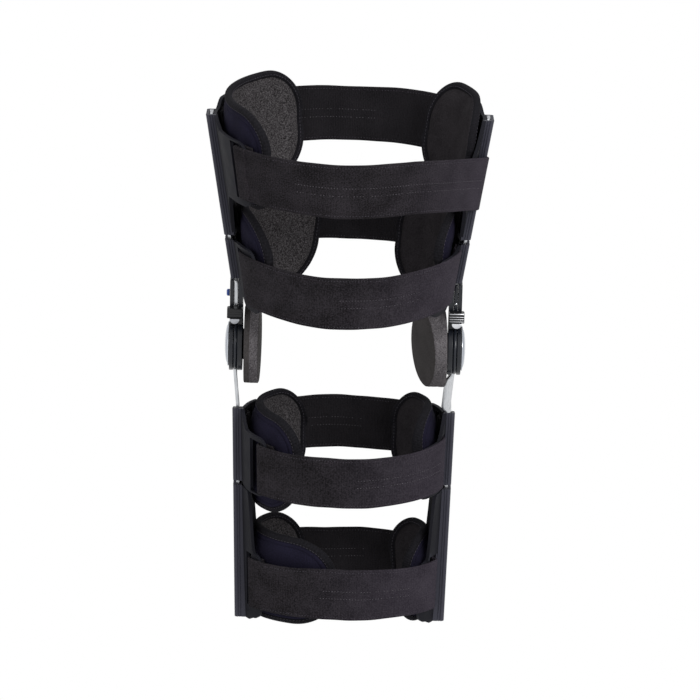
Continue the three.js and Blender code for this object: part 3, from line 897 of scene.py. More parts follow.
@dataclass(frozen=True)
class Bracket:
    """A moulded bracket: a curved plate with a strap window on each wing, and a ribbed box for the bar."""

    cuff: str
    limb: Limb
    spine_bottom: float
    spine_top: float
    front_bottom: float
    front_top: float
    front_reach: float
    rear_bottom: float
    rear_top: float
    rear_reach: float
    front_strap_z: float
    rear_strap_z: float
    rim: float
    window_left: float
    window_right: float
    right_top: float
    top_slope: float = 0.0
    shoulder_from: float = 13.0
    shoulder: float = 16.0

    PLATE: ClassVar[float] = 3.0
    SPINE_HALF: ClassVar[float] = 13.0
    SPINE_OUT: ClassVar[float] = 9.0
    SPINE_WALL: ClassVar[float] = 2.4
    SPINE_CORNER: ClassVar[float] = 2.5
    WINDOW: ClassVar[float] = 14.0
    WINDOW_HALF: ClassVar[float] = 25.0
    RIM: ClassVar[float] = 12.0
    CLEARANCE: ClassVar[float] = 0.35
    WING_CORNER: ClassVar[float] = 9.0
    GROOVES: ClassVar[tuple[float, ...]] = (-5.5, 0.0, 5.5)
    GROOVE_HALF: ClassVar[float] = 1.5
    GROOVE_DEPTH: ClassVar[float] = 0.9
    FLANK_GROOVES: ClassVar[tuple[float, ...]] = (3.5, 5.5)
    FLANK_HALF: ClassVar[float] = 0.55
    FLANK_DEPTH: ClassVar[float] = 0.45
    EDGE: ClassVar[float] = 0.8
    FLANK_FLOOR: ClassVar[float] = 0.5
    GROOVE_FLOOR: ClassVar[float] = 0.6
    CORNER_STEPS: ClassVar[int] = 4
    STRIP: ClassVar[float] = 1.0
    SHUT_ANGLE: ClassVar[float] = 0.02
    COLUMNS: ClassVar[tuple[int, ...]] = (4, 5, 8, 7)
    ROWS: ClassVar[tuple[tuple[int, bool], ...]] = ((6, False), (16, True), (6, False))

    @property
    def form(self) -> LegForm:
        """The leg surface that the bracket follows."""
        return LEG_FORMS[self.limb]

    @property
    def middle(self) -> float:
        """The height of the middle of its spine."""
        return (self.spine_bottom + self.spine_top) / 2

    def wing(self, face: Face) -> tuple[float, float, float, float]:
        """A wing's sizes.

        Args:
            face: The front or the rear wing.

        Returns:
            Its bottom, its top on the left, its reach and its strap's height.
        """
        if face is Face.FRONT:
            return self.front_bottom, self.front_top, self.front_reach, self.front_strap_z
        return self.rear_bottom, self.rear_top, self.rear_reach, self.rear_strap_z

    def window(self, face: Face, side: Side) -> tuple[float, float]:
        """Where a wing's strap window lies.

        Args:
            face: The front or the rear wing.
            side: The upright that the bracket is on.

        Returns:
            The distances of its near and far ends round the leg from the bar.
        """
        reach = self.wing(face)[2]
        if face is Face.BACK:
            return reach - self.RIM - self.WINDOW, reach - self.RIM
        return self.window_left if side is Side.LEFT else self.window_right, reach - self.rim

    def top_at(self, distance: float) -> float:
        """How high the spine's end is at a distance from the bar, below 0 to the front."""
        along = min(max(distance, -self.SPINE_HALF), self.SPINE_HALF)
        return self.spine_top - self.top_slope * (along + self.SPINE_HALF)

    def columns(self, side: Side) -> tuple[np.ndarray, np.ndarray]:
        """The plate's columns from its rear edge to its front edge.

        Args:
            side: The upright that the bracket is on.

        Returns:
            Their angles, below 0 to the rear, and whether a window lies just past each column.
        """
        angles: list[float] = []
        open_after: list[bool] = []
        for face in (Face.BACK, Face.FRONT):
            _, _, reach, strap_z = self.wing(face)
            near, far = (self.form.angle_of(face, strap_z, end) for end in self.window(face, side))
            edge = self.form.angle_of(face, self.middle, reach)
            spine = self.form.angle_of(face, self.middle, self.SPINE_HALF)
            opened = near < far
            near = min(near, far - self.SHUT_ANGLE)
            places = [0.0, spine, near, far, edge]
            holes = [False, False, opened, False]
            own = [
                (between(start, end, step / count), hole)
                for start, end, count, hole in zip(places, places[1:], self.COLUMNS, holes)
                for step in range(count)
            ]
            if face is Face.BACK:
                angles += [-edge] + [-angle for angle, _ in reversed(own)]
                open_after += [hole for _, hole in reversed(own)]
            else:
                angles += [angle for angle, _ in own[1:]] + [edge]
                open_after += [hole for _, hole in own] + [False]
        return np.array(angles), np.array(open_after)

    def rows(self, angles: np.ndarray, side: Side) -> tuple[np.ndarray, list[bool]]:
        """The heights of the plate's rows at each column.

        Args:
            angles: The columns' angles.
            side: The upright that the bracket is on.

        Returns:
            Heights, a row for each column, and whether a window may lie just past each row.
        """
        open_after = [opened for count, opened in self.ROWS for _ in range(count)] + [False]
        heights = []
        for angle in angles:
            face = Face.BACK if angle < 0 else Face.FRONT
            bottom, top, reach, strap_z = self.wing(face)
            if face is Face.FRONT and side is Side.RIGHT:
                top = self.right_top
            edge = self.form.angle_of(face, self.middle, reach)
            distance = abs(angle) / edge * reach
            blend = ease((distance - self.shoulder_from) / self.shoulder)
            into = min(max(distance - (reach - self.WING_CORNER), 0), self.WING_CORNER)
            round_off = self.WING_CORNER - math.sqrt(self.WING_CORNER**2 - into**2)
            foot = between(self.spine_bottom, bottom, blend) + round_off
            end = self.top_at(distance if face is Face.BACK else -distance)
            head = between(end, top, blend) - round_off
            low = min(max(strap_z - self.WINDOW_HALF, foot + self.STRIP), head - 3 * self.STRIP)
            high = max(min(strap_z + self.WINDOW_HALF, head - self.STRIP), low + self.STRIP)
            stops = [foot, low, high, head]
            column = [
                between(start, end, step / count)
                for (count, _), start, end in zip(self.ROWS, stops, stops[1:])
                for step in range(count)
            ]
            heights.append([*column, head])
        return np.array(heights), open_after

    def add_plate(self, draft: Draft, side: Side) -> None:
        """Adds the curved plate with its two windows.

        Args:
            draft: The bracket so far.
            side: The upright that the bracket is on.
        """
        angles, open_column = self.columns(side)
        heights, open_row = self.rows(angles, side)
        count_i, count_j = heights.shape
        walls = [self.form.points(angles[:, None], heights, np.array(o)) for o in (self.PLATE, 0.0)]
        cells = {
            (i, j)
            for i in range(count_i - 1)
            for j in range(count_j - 1)
            if not (open_column[i] and open_row[j])
        }
        skip = count_i * count_j
        faces: Faces = []
        for i, j in sorted(cells):
            a, b = i * count_j + j, (i + 1) * count_j + j
            faces.append((a, b, b + 1, a + 1))
            faces.append((a + skip, a + 1 + skip, b + 1 + skip, b + skip))
            edges = {
                (i - 1, j): (a, a + 1),
                (i + 1, j): (b, b + 1),
                (i, j - 1): (a, b),
                (i, j + 1): (a + 1, b + 1),
            }
            for beside, (p, q) in edges.items():
                if beside not in cells:
                    faces.append((p, q, q + skip, p + skip))
        points = np.concatenate([wall.reshape(-1, 3) for wall in walls])
        used = np.unique([i for face in faces for i in face])
        order = {int(old): new for new, old in enumerate(used)}
        draft.add(points[used], [tuple(order[i] for i in face) for face in faces], 1)

    def spine_section(self) -> np.ndarray:
        """The outline of the box round the bar: distances from the leg surface, and Y.

        Returns:
            A closed outline with a slot for the bar and grooves down its outer face.
        """
        inside = UPRIGHTS.width / 2 + self.CLEARANCE
        leg_y = (inside + self.SPINE_HALF) / 2
        shallow = min(self.form.depth(Face.FRONT, self.middle), self.form.depth(Face.BACK, self.middle))
        drop = self.form.half_width(self.middle) * (1 - math.sqrt(1 - (leg_y / shallow) ** 2))
        leg = self.PLATE / 2 - drop
        floor = self.SPINE_OUT - self.SPINE_WALL
        outline = [(leg, -self.SPINE_HALF)]
        for groove in self.FLANK_GROOVES:
            for share, sunk in ((-1, 0), (-self.FLANK_FLOOR, 1), (self.FLANK_FLOOR, 1), (1, 0)):
                y = sunk * self.FLANK_DEPTH - self.SPINE_HALF
                outline.append((groove + share * self.FLANK_HALF, y))
        corner = self.SPINE_CORNER
        turns = [step / self.CORNER_STEPS * QUARTER_TURN for step in range(self.CORNER_STEPS + 1)]
        for turn in turns:
            x = self.SPINE_OUT - corner + corner * math.sin(turn)
            outline.append((x, -self.SPINE_HALF + corner - corner * math.cos(turn)))
        for groove in self.GROOVES:
            for share, sunk in ((-1, 0), (-self.GROOVE_FLOOR, 1), (self.GROOVE_FLOOR, 1), (1, 0)):
                x = self.SPINE_OUT - sunk * self.GROOVE_DEPTH
                outline.append((x, groove + share * self.GROOVE_HALF))
        for turn in turns:
            x = self.SPINE_OUT - corner + corner * math.cos(turn)
            outline.append((x, self.SPINE_HALF - corner + corner * math.sin(turn)))
        outline += [(leg, self.SPINE_HALF), (leg, inside), (floor, inside), (floor, -inside), (leg, -inside)]
        return np.array(outline)

    def add_spine(self, draft: Draft) -> None:
        """Adds the box that holds the bar.

        Args:
            draft: The bracket so far.
        """
        section = self.spine_section()
        tops = np.array([self.top_at(y) for y in section[:, 1]])
        rings = []
        for share in np.linspace(0, 1, num=9):
            z = between(self.spine_bottom, tops, share)
            rings.append(np.column_stack([section[:, 0] + self.form.half_width(z), section[:, 1], z]))
        draft.add(np.vstack(rings), ring_faces(len(rings), len(section)))

    def make(self, bench: Workbench, side: Side) -> bpy.types.Object:
        """Makes one bracket.

        Args:
            bench: Where it is put together.
            side: The upright that it is on.

        Returns:
            The bracket, which stands for its node.
        """
        draft = Draft()
        self.add_plate(draft, side)
        self.add_spine(draft)
        name = f"{self.cuff}_bracket_{side.word}"
        finishes = [MOULDED_POLYAMIDE, MATT_POLYAMIDE]
        return bench.piece(f"{name}_moulded", draft, finishes, self.limb.value, [name], self.EDGE, side)


BRACKETS = {
    row.cuff: row
    for row in (
        Bracket(
            "thigh_upper", Limb.THIGH, 101.5, 207, 141, 198.5, 68, 150, 210, 48, 172, 179.5,
            rim=5, window_left=50, window_right=68, right_top=175, top_slope=0.1,
        ),
        Bracket(
            "thigh_lower", Limb.THIGH, 63, 97, 43, 100, 56, 69, 127, 46, 72, 98,
            rim=19, window_left=28, window_right=15, right_top=94,
        ),
        Bracket(
            "calf_upper", Limb.CALF, -120, -54, -123, -68, 57, -118, -61, 44, -96.5, -90,
            rim=6, window_left=36, window_right=15, right_top=-75, top_slope=0.3,
        ),
        Bracket(
            "calf_lower", Limb.CALF, -246, -124, -243, -181, 43, -243, -181, 42, -207, -209,
            rim=13, window_left=22, window_right=15, right_top=-185, shoulder_from=26, shoulder=8,
        ),
    )
}


# Stitches


@dataclass(frozen=True)
class Stitching:
    """A row of lockstitches that lie on a cloth. Some may be lost in its pile.

    The thread is 0.4 mm and is drawn thicker so that it shows.
    """

    pitch: float = 2.5
    length: float = 1.1
    radius: float = 0.26
    lost: float = 0.0
    seed: int = 0

    RINGS: ClassVar[Pairs] = ((-0.36, 0.8), (0.0, 1.0), (0.36, 0.8))
    SPOKES: ClassVar[int] = 6
    PROUD: ClassVar[float] = 0.25

    def sew(self, draft: Draft, line: np.ndarray, out: np.ndarray, finish: int = 0) -> None:
        """Adds stitches along a line to a draft.

        Args:
            draft: The piece that they go into.
            line: The line's points on the cloth.
            out: Which way is off the cloth at each of them.
            finish: The number of their thread among the piece's finishes.
        """
        run = np.concatenate([[0], np.cumsum(np.linalg.norm(np.diff(line, axis=0), axis=1))])
        chance = np.random.default_rng(self.seed)
        places = np.arange(self.pitch / 2, run[-1], self.pitch)
        places = places[chance.random(len(places)) >= self.lost]
        turn = np.arange(self.SPOKES) * FULL_TURN / self.SPOKES
        faces = fan_ends(
            ring_faces(len(self.RINGS), self.SPOKES, caps=False), len(self.RINGS), self.SPOKES
        )
        for place in places:
            ends = [
                np.array([np.interp(place + way * self.length / 2, run, line[:, k]) for k in range(3)])
                for way in (-1, 1)
            ]
            normal = np.array([np.interp(place, run, out[:, k]) for k in range(3)])
            along = ends[1] - ends[0]
            normal = normal / np.linalg.norm(normal)
            across = np.cross(along, normal)
            across /= np.linalg.norm(across)
            centre = (ends[0] + ends[1]) / 2 + normal * self.radius * self.PROUD
            rings = [
                centre
                + along * share
                + self.radius * scale * (np.outer(np.cos(turn), normal) + np.outer(np.sin(turn), across))
                for share, scale in self.RINGS
            ]
            draft.add(np.vstack([*rings, centre - along / 2, centre + along / 2]), faces, finish)


def surface_normals(grid: np.ndarray) -> np.ndarray:
    """Unit normals of a grid of points, pointing away from the leg's middle.

    Args:
        grid: Points in rows and columns.

    Returns:
        A normal for each point.
    """
    normal = np.cross(np.gradient(grid, axis=0), np.gradient(grid, axis=1))
    normal /= np.linalg.norm(normal, axis=-1, keepdims=True)
    away = np.sum(normal * grid * (1, 1, 0), axis=-1, keepdims=True)
    return np.where(away < 0, -normal, normal)


# Straps


class EndKind(Enum):
    """How a strap's end passes its bracket's window."""

    TUCKED = "in beside the bar, with its tail under the spine"
    WRAPPED = "round the window's rim, with its tail back under the rim"
    OVER = "over the whole wing and round the spine"


@dataclass(frozen=True)
class StrapEnd:
    """A strap's end: how it passes its window, how long it is doubled past it, and how far it drops."""

    kind: EndKind = EndKind.TUCKED
    folded: float = 0.0
    drop: float = 0.0


@dataclass(frozen=True)
class StitchRow:
    """A row of stitches on a strap: its height on it and the share of the length that it runs along."""

    across: float
    start: float
    end: float
    thread: ClothFinish
    lost: float


@dataclass(frozen=True)
class Course:
    """The stations of a strap: distance round the leg from the bar, distance off it, and which way is out."""

    distance: np.ndarray
    offset: np.ndarray
    out: np.ndarray
    side: np.ndarray


def facing_out(line: np.ndarray) -> np.ndarray:
    """The unit normals of a flat line, to the left of its run.

    Args:
        line: Its points in two columns.

    Returns:
        A normal for each point.
    """
    along = np.gradient(line, axis=0)
    normal = np.column_stack([-along[:, 1], along[:, 0]])
    return normal / np.linalg.norm(normal, axis=1, keepdims=True)


@dataclass(frozen=True)
class Strap:
    """A strap from its tail in the right bracket, round the leg, to its tail in the left one."""

    cuff: str
    face: Face
    end_z: float
    mid_z: float
    lean: float
    seed: int
    right: StrapEnd = StrapEnd()
    left: StrapEnd = StrapEnd()
    rows: tuple[StitchRow, ...] = ()

    WIDTH: ClassVar[float] = 47.0
    THICKNESS: ClassVar[float] = 2.2
    OUT: ClassVar[float] = 4.5
    IN: ClassVar[float] = -1.8
    TAIL: ClassVar[float] = 11.0
    TAIL_LEAST: ClassVar[float] = 2.0
    DIVE: ClassVar[float] = 7.0
    WAVE: ClassVar[float] = 0.45
    CURL: ClassVar[float] = 0.6
    FOLD: ClassVar[float] = 2.0
    FOLD_MARGIN: ClassVar[float] = 4.0
    FOLD_EDGE: ClassVar[float] = 1.4
    FOLD_RISE: ClassVar[float] = 3.0
    DROP_SPAN: ClassVar[float] = 110.0
    DROP_MOST: ClassVar[float] = 1.2
    DROP_POWER: ClassVar[float] = 1.4
    # Waves in a turn round the leg: of the band, of its finer waves, of its edges' frill and of its height.
    WAVES: ClassVar[tuple[int, int, int, int]] = (5, 11, 23, 7)
    FINE_SHARE: ClassVar[float] = 0.6
    FRILL_SHARE: ClassVar[float] = 0.5
    SWAY: ClassVar[float] = 0.5
    # An end laid over the spine: distances from the bar, and first depths under the layer on the spine,
    # then distances off the leg.
    OVER_GAP: ClassVar[float] = 0.25
    OVER_SPINE: ClassVar[Pairs] = ((-9, 0), (0, 0), (8, 0), (15.5, 0.9))
    OVER_WING: ClassVar[Pairs] = (
        (22, 8.2), (30, 6.3), (40, 4.9), (50, OUT), (58, OUT),
    )
    TAIL_STEPS: ClassVar[int] = 5
    # Millimetres of cloth between the patterns of two straps.
    CLOTH_STEP: ClassVar[float] = 40.0
    ACROSS_STEPS: ClassVar[int] = 18
    EDGE_STEPS: ClassVar[int] = 4

    @property
    def name(self) -> str:
        """The strap's node."""
        return f"{self.cuff}_{self.face.name.lower()}_strap"

    @property
    def bracket(self) -> Bracket:
        """The bracket that carries the strap on each side."""
        return BRACKETS[self.cuff]

    @property
    def per_mm(self) -> float:
        """The angle that a millimetre round the leg spans."""
        return self.bracket.form.angle_of(self.face, self.end_z, 1.0)

    def ends(self) -> dict[Side, StrapEnd]:
        """The strap's two ends, from the right one, where its run starts."""
        return {Side.RIGHT: self.right, Side.LEFT: self.left}

    def end_line(self, end: StrapEnd, side: Side) -> np.ndarray:
        """A strap's end, from its tail to just past the window.

        Args:
            end: How it passes the window.
            side: The upright that it is on.

        Returns:
            Distances round the leg and off it, in two columns.
        """
        start, rim = self.bracket.window(self.face, side)
        if end.kind is EndKind.OVER:
            over = Bracket.SPINE_OUT + self.THICKNESS / 2 + self.OVER_GAP
            stops = [(distance, over - depth) for distance, depth in self.OVER_SPINE]
            return smooth_line([*stops, *self.OVER_WING], count=6)
        if end.kind is EndKind.WRAPPED:
            radius = (self.OUT - self.IN) / 2
            turn = np.linspace(0, math.pi, num=15)
            tail_end, meet = rim + self.TAIL, rim
            bend = np.column_stack([rim - radius * np.sin(turn), self.IN + radius * (1 - np.cos(turn))])
        else:
            share = np.linspace(0, 1, num=16)
            tail_end, meet = max(start - self.TAIL, self.TAIL_LEAST), start
            bend = np.column_stack([start + self.DIVE * share, between(self.IN, self.OUT, ease(share))])
        tail = np.linspace(tail_end, meet, self.TAIL_STEPS, endpoint=False)
        return np.vstack([np.column_stack([tail, np.full(self.TAIL_STEPS, self.IN)]), bend])

    def course(self) -> Course:
        """Lays out the strap from its right tail to its left tail.

        Returns:
            Its stations.
        """
        quarter = QUARTER_TURN / self.per_mm
        halves = []
        for side, end in self.ends().items():
            line = self.end_line(end, side)
            near = line[-1, 0] + end.folded + self.FOLD_MARGIN
            close = np.linspace(line[-1, 0], near, num=22)[1:-1]
            span = np.concatenate([close, np.linspace(near, quarter, num=56)])
            halves.append(np.vstack([line, np.column_stack([span, np.full(len(span), self.OUT)])]))
        right, left = halves[0], halves[1][-2::-1]
        outs = [facing_out(halves[0]), facing_out(halves[1])[-2::-1]]
        line = np.vstack([right, left])
        side = np.repeat([1, -1], [len(right), len(left)])
        return Course(line[:, 0], line[:, 1], np.vstack(outs), side)

    def surface(self, course: Course, across: np.ndarray, above: np.ndarray) -> np.ndarray:
        """Points of the strap.

        Args:
            course: The strap's stations.
            across: Heights on the strap from its middle line.
            above: Distances off the strap's middle layer, outward.

        Returns:
            A row of points for each station.
        """
        form = self.bracket.form
        reach_mm = self.bracket.wing(self.face)[2]
        quarter = QUARTER_TURN / self.per_mm
        settle = ease((course.distance - reach_mm) / (quarter - reach_mm)) * (course.offset > 0)
        doubled = np.zeros_like(course.distance)
        for side, end in self.ends().items():
            if end.folded:
                past = course.distance - self.end_line(end, side)[-1, 0]
                risen = ease((course.offset - self.OUT + self.FOLD_RISE) / self.FOLD_RISE)
                layer = (1 - ease((past - end.folded) / self.FOLD_EDGE)) * risen
                doubled = np.where(course.side == side.value, self.FOLD * layer, doubled)
        sunk = np.where(course.side > 0, self.right.drop, self.left.drop)
        sunk = sunk * np.clip(1 - course.distance / self.DROP_SPAN, 0, self.DROP_MOST) ** self.DROP_POWER
        phase = np.random.default_rng(self.seed).uniform(0, FULL_TURN, 4)
        angle = course.distance * self.per_mm
        round_leg = np.where(course.side > 0, angle, math.pi - angle)
        turn = round_leg[:, None]
        tilt = across[None, :] / self.WIDTH
        broad, fine, frill, sway = self.WAVES
        wave = np.sin(broad * turn + phase[0] + 2 * tilt)
        wave = wave + self.FINE_SHARE * np.sin(fine * turn + phase[1] - 3 * tilt)
        ripple = self.FRILL_SHARE * np.sin(frill * turn + phase[2]) * (2 * tilt) ** 2
        lift = settle[:, None] * (self.WAVE * (wave + ripple) - self.CURL * (2 * tilt) ** 4)
        swayed = self.SWAY * settle * np.sin(sway * round_leg + phase[3])
        z = between(self.end_z, self.mid_z, settle) + swayed
        height = (z - sunk)[:, None] + across[None, :]
        own = form.depth(self.face, z)[:, None] + self.lean * across[None, :]
        reach = between(form.depth(self.face, height), own, settle[:, None])
        raised = np.clip(above[None, :] / self.THICKNESS * 2, 0, 1) * doubled[:, None]
        thick = above[None, :] + raised
        distance = course.distance[:, None] + thick * course.out[:, :1]
        offset = course.offset[:, None] + thick * course.out[:, 1:] + lift
        points = form.points(distance * self.per_mm * self.face.value, height, offset, reach)
        points[..., 0] *= course.side[:, None]
        return points

    def section(self) -> tuple[np.ndarray, np.ndarray]:
        """The strap's section: a flat band with round edges.

        Returns:
            Heights across the strap and distances off its middle layer.
        """
        half, radius = self.WIDTH / 2, self.THICKNESS / 2
        face = np.linspace(radius - half, half - radius, self.ACROSS_STEPS + 1)
        turn = np.linspace(0, math.pi, self.EDGE_STEPS + 2)[1:-1]
        out, up = radius * np.sin(turn), radius * np.cos(turn)
        flat = np.full(len(face), radius)
        across = np.concatenate([face, half - radius + out, face[::-1], radius - half - out])
        return across, np.concatenate([flat, up, -flat, -up])

    def make(self, bench: Workbench) -> bpy.types.Object:
        """Makes the strap and its stitches.

        Args:
            bench: Where they are put together.

        Returns:
            The strap, which stands for its node.
        """
        course = self.course()
        across, above = self.section()
        grid = self.surface(course, across, above)
        middle = self.surface(course, np.zeros(1), np.zeros(1))[:, 0]
        run = np.concatenate([[0], np.cumsum(np.linalg.norm(np.diff(middle, axis=0), axis=1))])
        layer = above[None, :] + self.CLOTH_STEP * self.seed
        threads = np.stack(np.broadcast_arrays(run[:, None], across[None, :], layer), axis=-1)
        draft = Draft()
        draft.add(grid.reshape(-1, 3), ring_faces(len(run), len(across)), threads=threads.reshape(-1, 3))
        cloth = BRUSHED_LOOP if self.face is Face.FRONT else POLYESTER_WEBBING
        strap = bench.piece(f"{self.name}_cloth", draft, [cloth], self.bracket.limb.value, [self.name])
        seams = self.make_seams(bench, course, run)
        [f"{self.cuff}_bracket_{side.word}_moulded" for side in Side]
        return strap

    def make_seams(self, bench: Workbench, course: Course, run: np.ndarray) -> bpy.types.Object:
        """Makes the rows of stitches, which show on both faces of the strap.

        Args:
            bench: Where they are put together.
            course: The strap's stations.
            run: Their distances along the strap.

        Returns:
            The stitches, as one piece.
        """
        draft = Draft()
        threads = list(dict.fromkeys(row.thread for row in self.rows))
        for number, row in enumerate(self.rows):
            sewing = Stitching(lost=row.lost, seed=10 * self.seed + number)
            chosen = (run >= row.start * run[-1]) & (run <= row.end * run[-1])
            across = row.across + np.array([-1.0, 0.0, 1.0])
            for way in (1, -1):
                grid = self.surface(course, across, np.full(3, way * self.THICKNESS / 2))
                normals = way * surface_normals(grid)[:, 1]
                sewing.sew(draft, grid[:, 1][chosen], normals[chosen], threads.index(row.thread))
        return bench.piece(f"{self.name}_stitches", draft, threads, self.bracket.limb.value)


# Where the seams lie on a strap, from its middle line and in from its edges, and how far the edge seams run.
MIDDLE_SEAM = 3.4
EDGE_SEAM = Strap.WIDTH / 2 - 2.6
EDGE_RUN = (0.16, 0.84)


def seam_rows(start: float, end: float) -> tuple[StitchRow, ...]:
    """Two pale rows along a strap's middle, and a row of black thread along each edge, drawn light to paint
    the edge's highlight.

    Args:
        start: Where the middle rows start, as a share of the strap's length from its right tail.
        end: Where they end.

    Returns:
        The four rows.
    """
    return (
        StitchRow(MIDDLE_SEAM, start, end, PALE_THREAD, lost=0.08),
        StitchRow(-MIDDLE_SEAM, start, end, PALE_THREAD, lost=0.14),
        StitchRow(EDGE_SEAM, *EDGE_RUN, HIGHLIT_BLACK_THREAD, lost=0.1),
        StitchRow(-EDGE_SEAM, *EDGE_RUN, HIGHLIT_BLACK_THREAD, lost=0.1),
    )


ROUND_RIM = StrapEnd(EndKind.WRAPPED)
STRAPS = (
    Strap(
        "thigh_upper", Face.FRONT, 172, 171, 0.03, 1,
        right=StrapEnd(EndKind.OVER, drop=24), left=StrapEnd(EndKind.WRAPPED, folded=9),
        rows=seam_rows(0.1, 0.74),
    ),
    Strap("thigh_upper", Face.BACK, 179.5, 179.5, 0.1, 2, rows=seam_rows(0.42, 0.8)),
    Strap("thigh_lower", Face.FRONT, 72, 69, 0.12, 3, left=ROUND_RIM, rows=seam_rows(0.28, 0.55)),
    Strap("thigh_lower", Face.BACK, 98, 98, 0.1, 4, rows=seam_rows(0.4, 0.75)),
    Strap("calf_upper", Face.FRONT, -96.5, -96.5, 0.1, 5, left=ROUND_RIM, rows=seam_rows(0.12, 0.52)),
    Strap("calf_upper", Face.BACK, -90, -90, 0.08, 6, rows=seam_rows(0.42, 0.66)),
    Strap(
        "calf_lower", Face.FRONT, -207, -207, 0, 7,
        right=StrapEnd(EndKind.TUCKED, drop=3), left=StrapEnd(EndKind.WRAPPED, drop=3),
        rows=seam_rows(0.22, 0.6),
    ),
    Strap("calf_lower", Face.BACK, -209, -209, 0.02, 8, rows=seam_rows(0.4, 0.7)),
)


# Pads


class PadBand(Enum):
    """The bands of a pad's skin, from the middle of its outer face to the middle of its inner face."""

    OUTER = 0
    BINDING = 1
    INNER = 2


@dataclass(frozen=True)
class PadRing:
    """One ring of a pad's skin: how far it is in from the outline, its distance off the leg, and its hold.

    Past the inset, centre is the share of the way on to the pad's middle.
    """

    inset: float
    offset: float
    band: PadBand
    held: float
    centre: float = 0.0


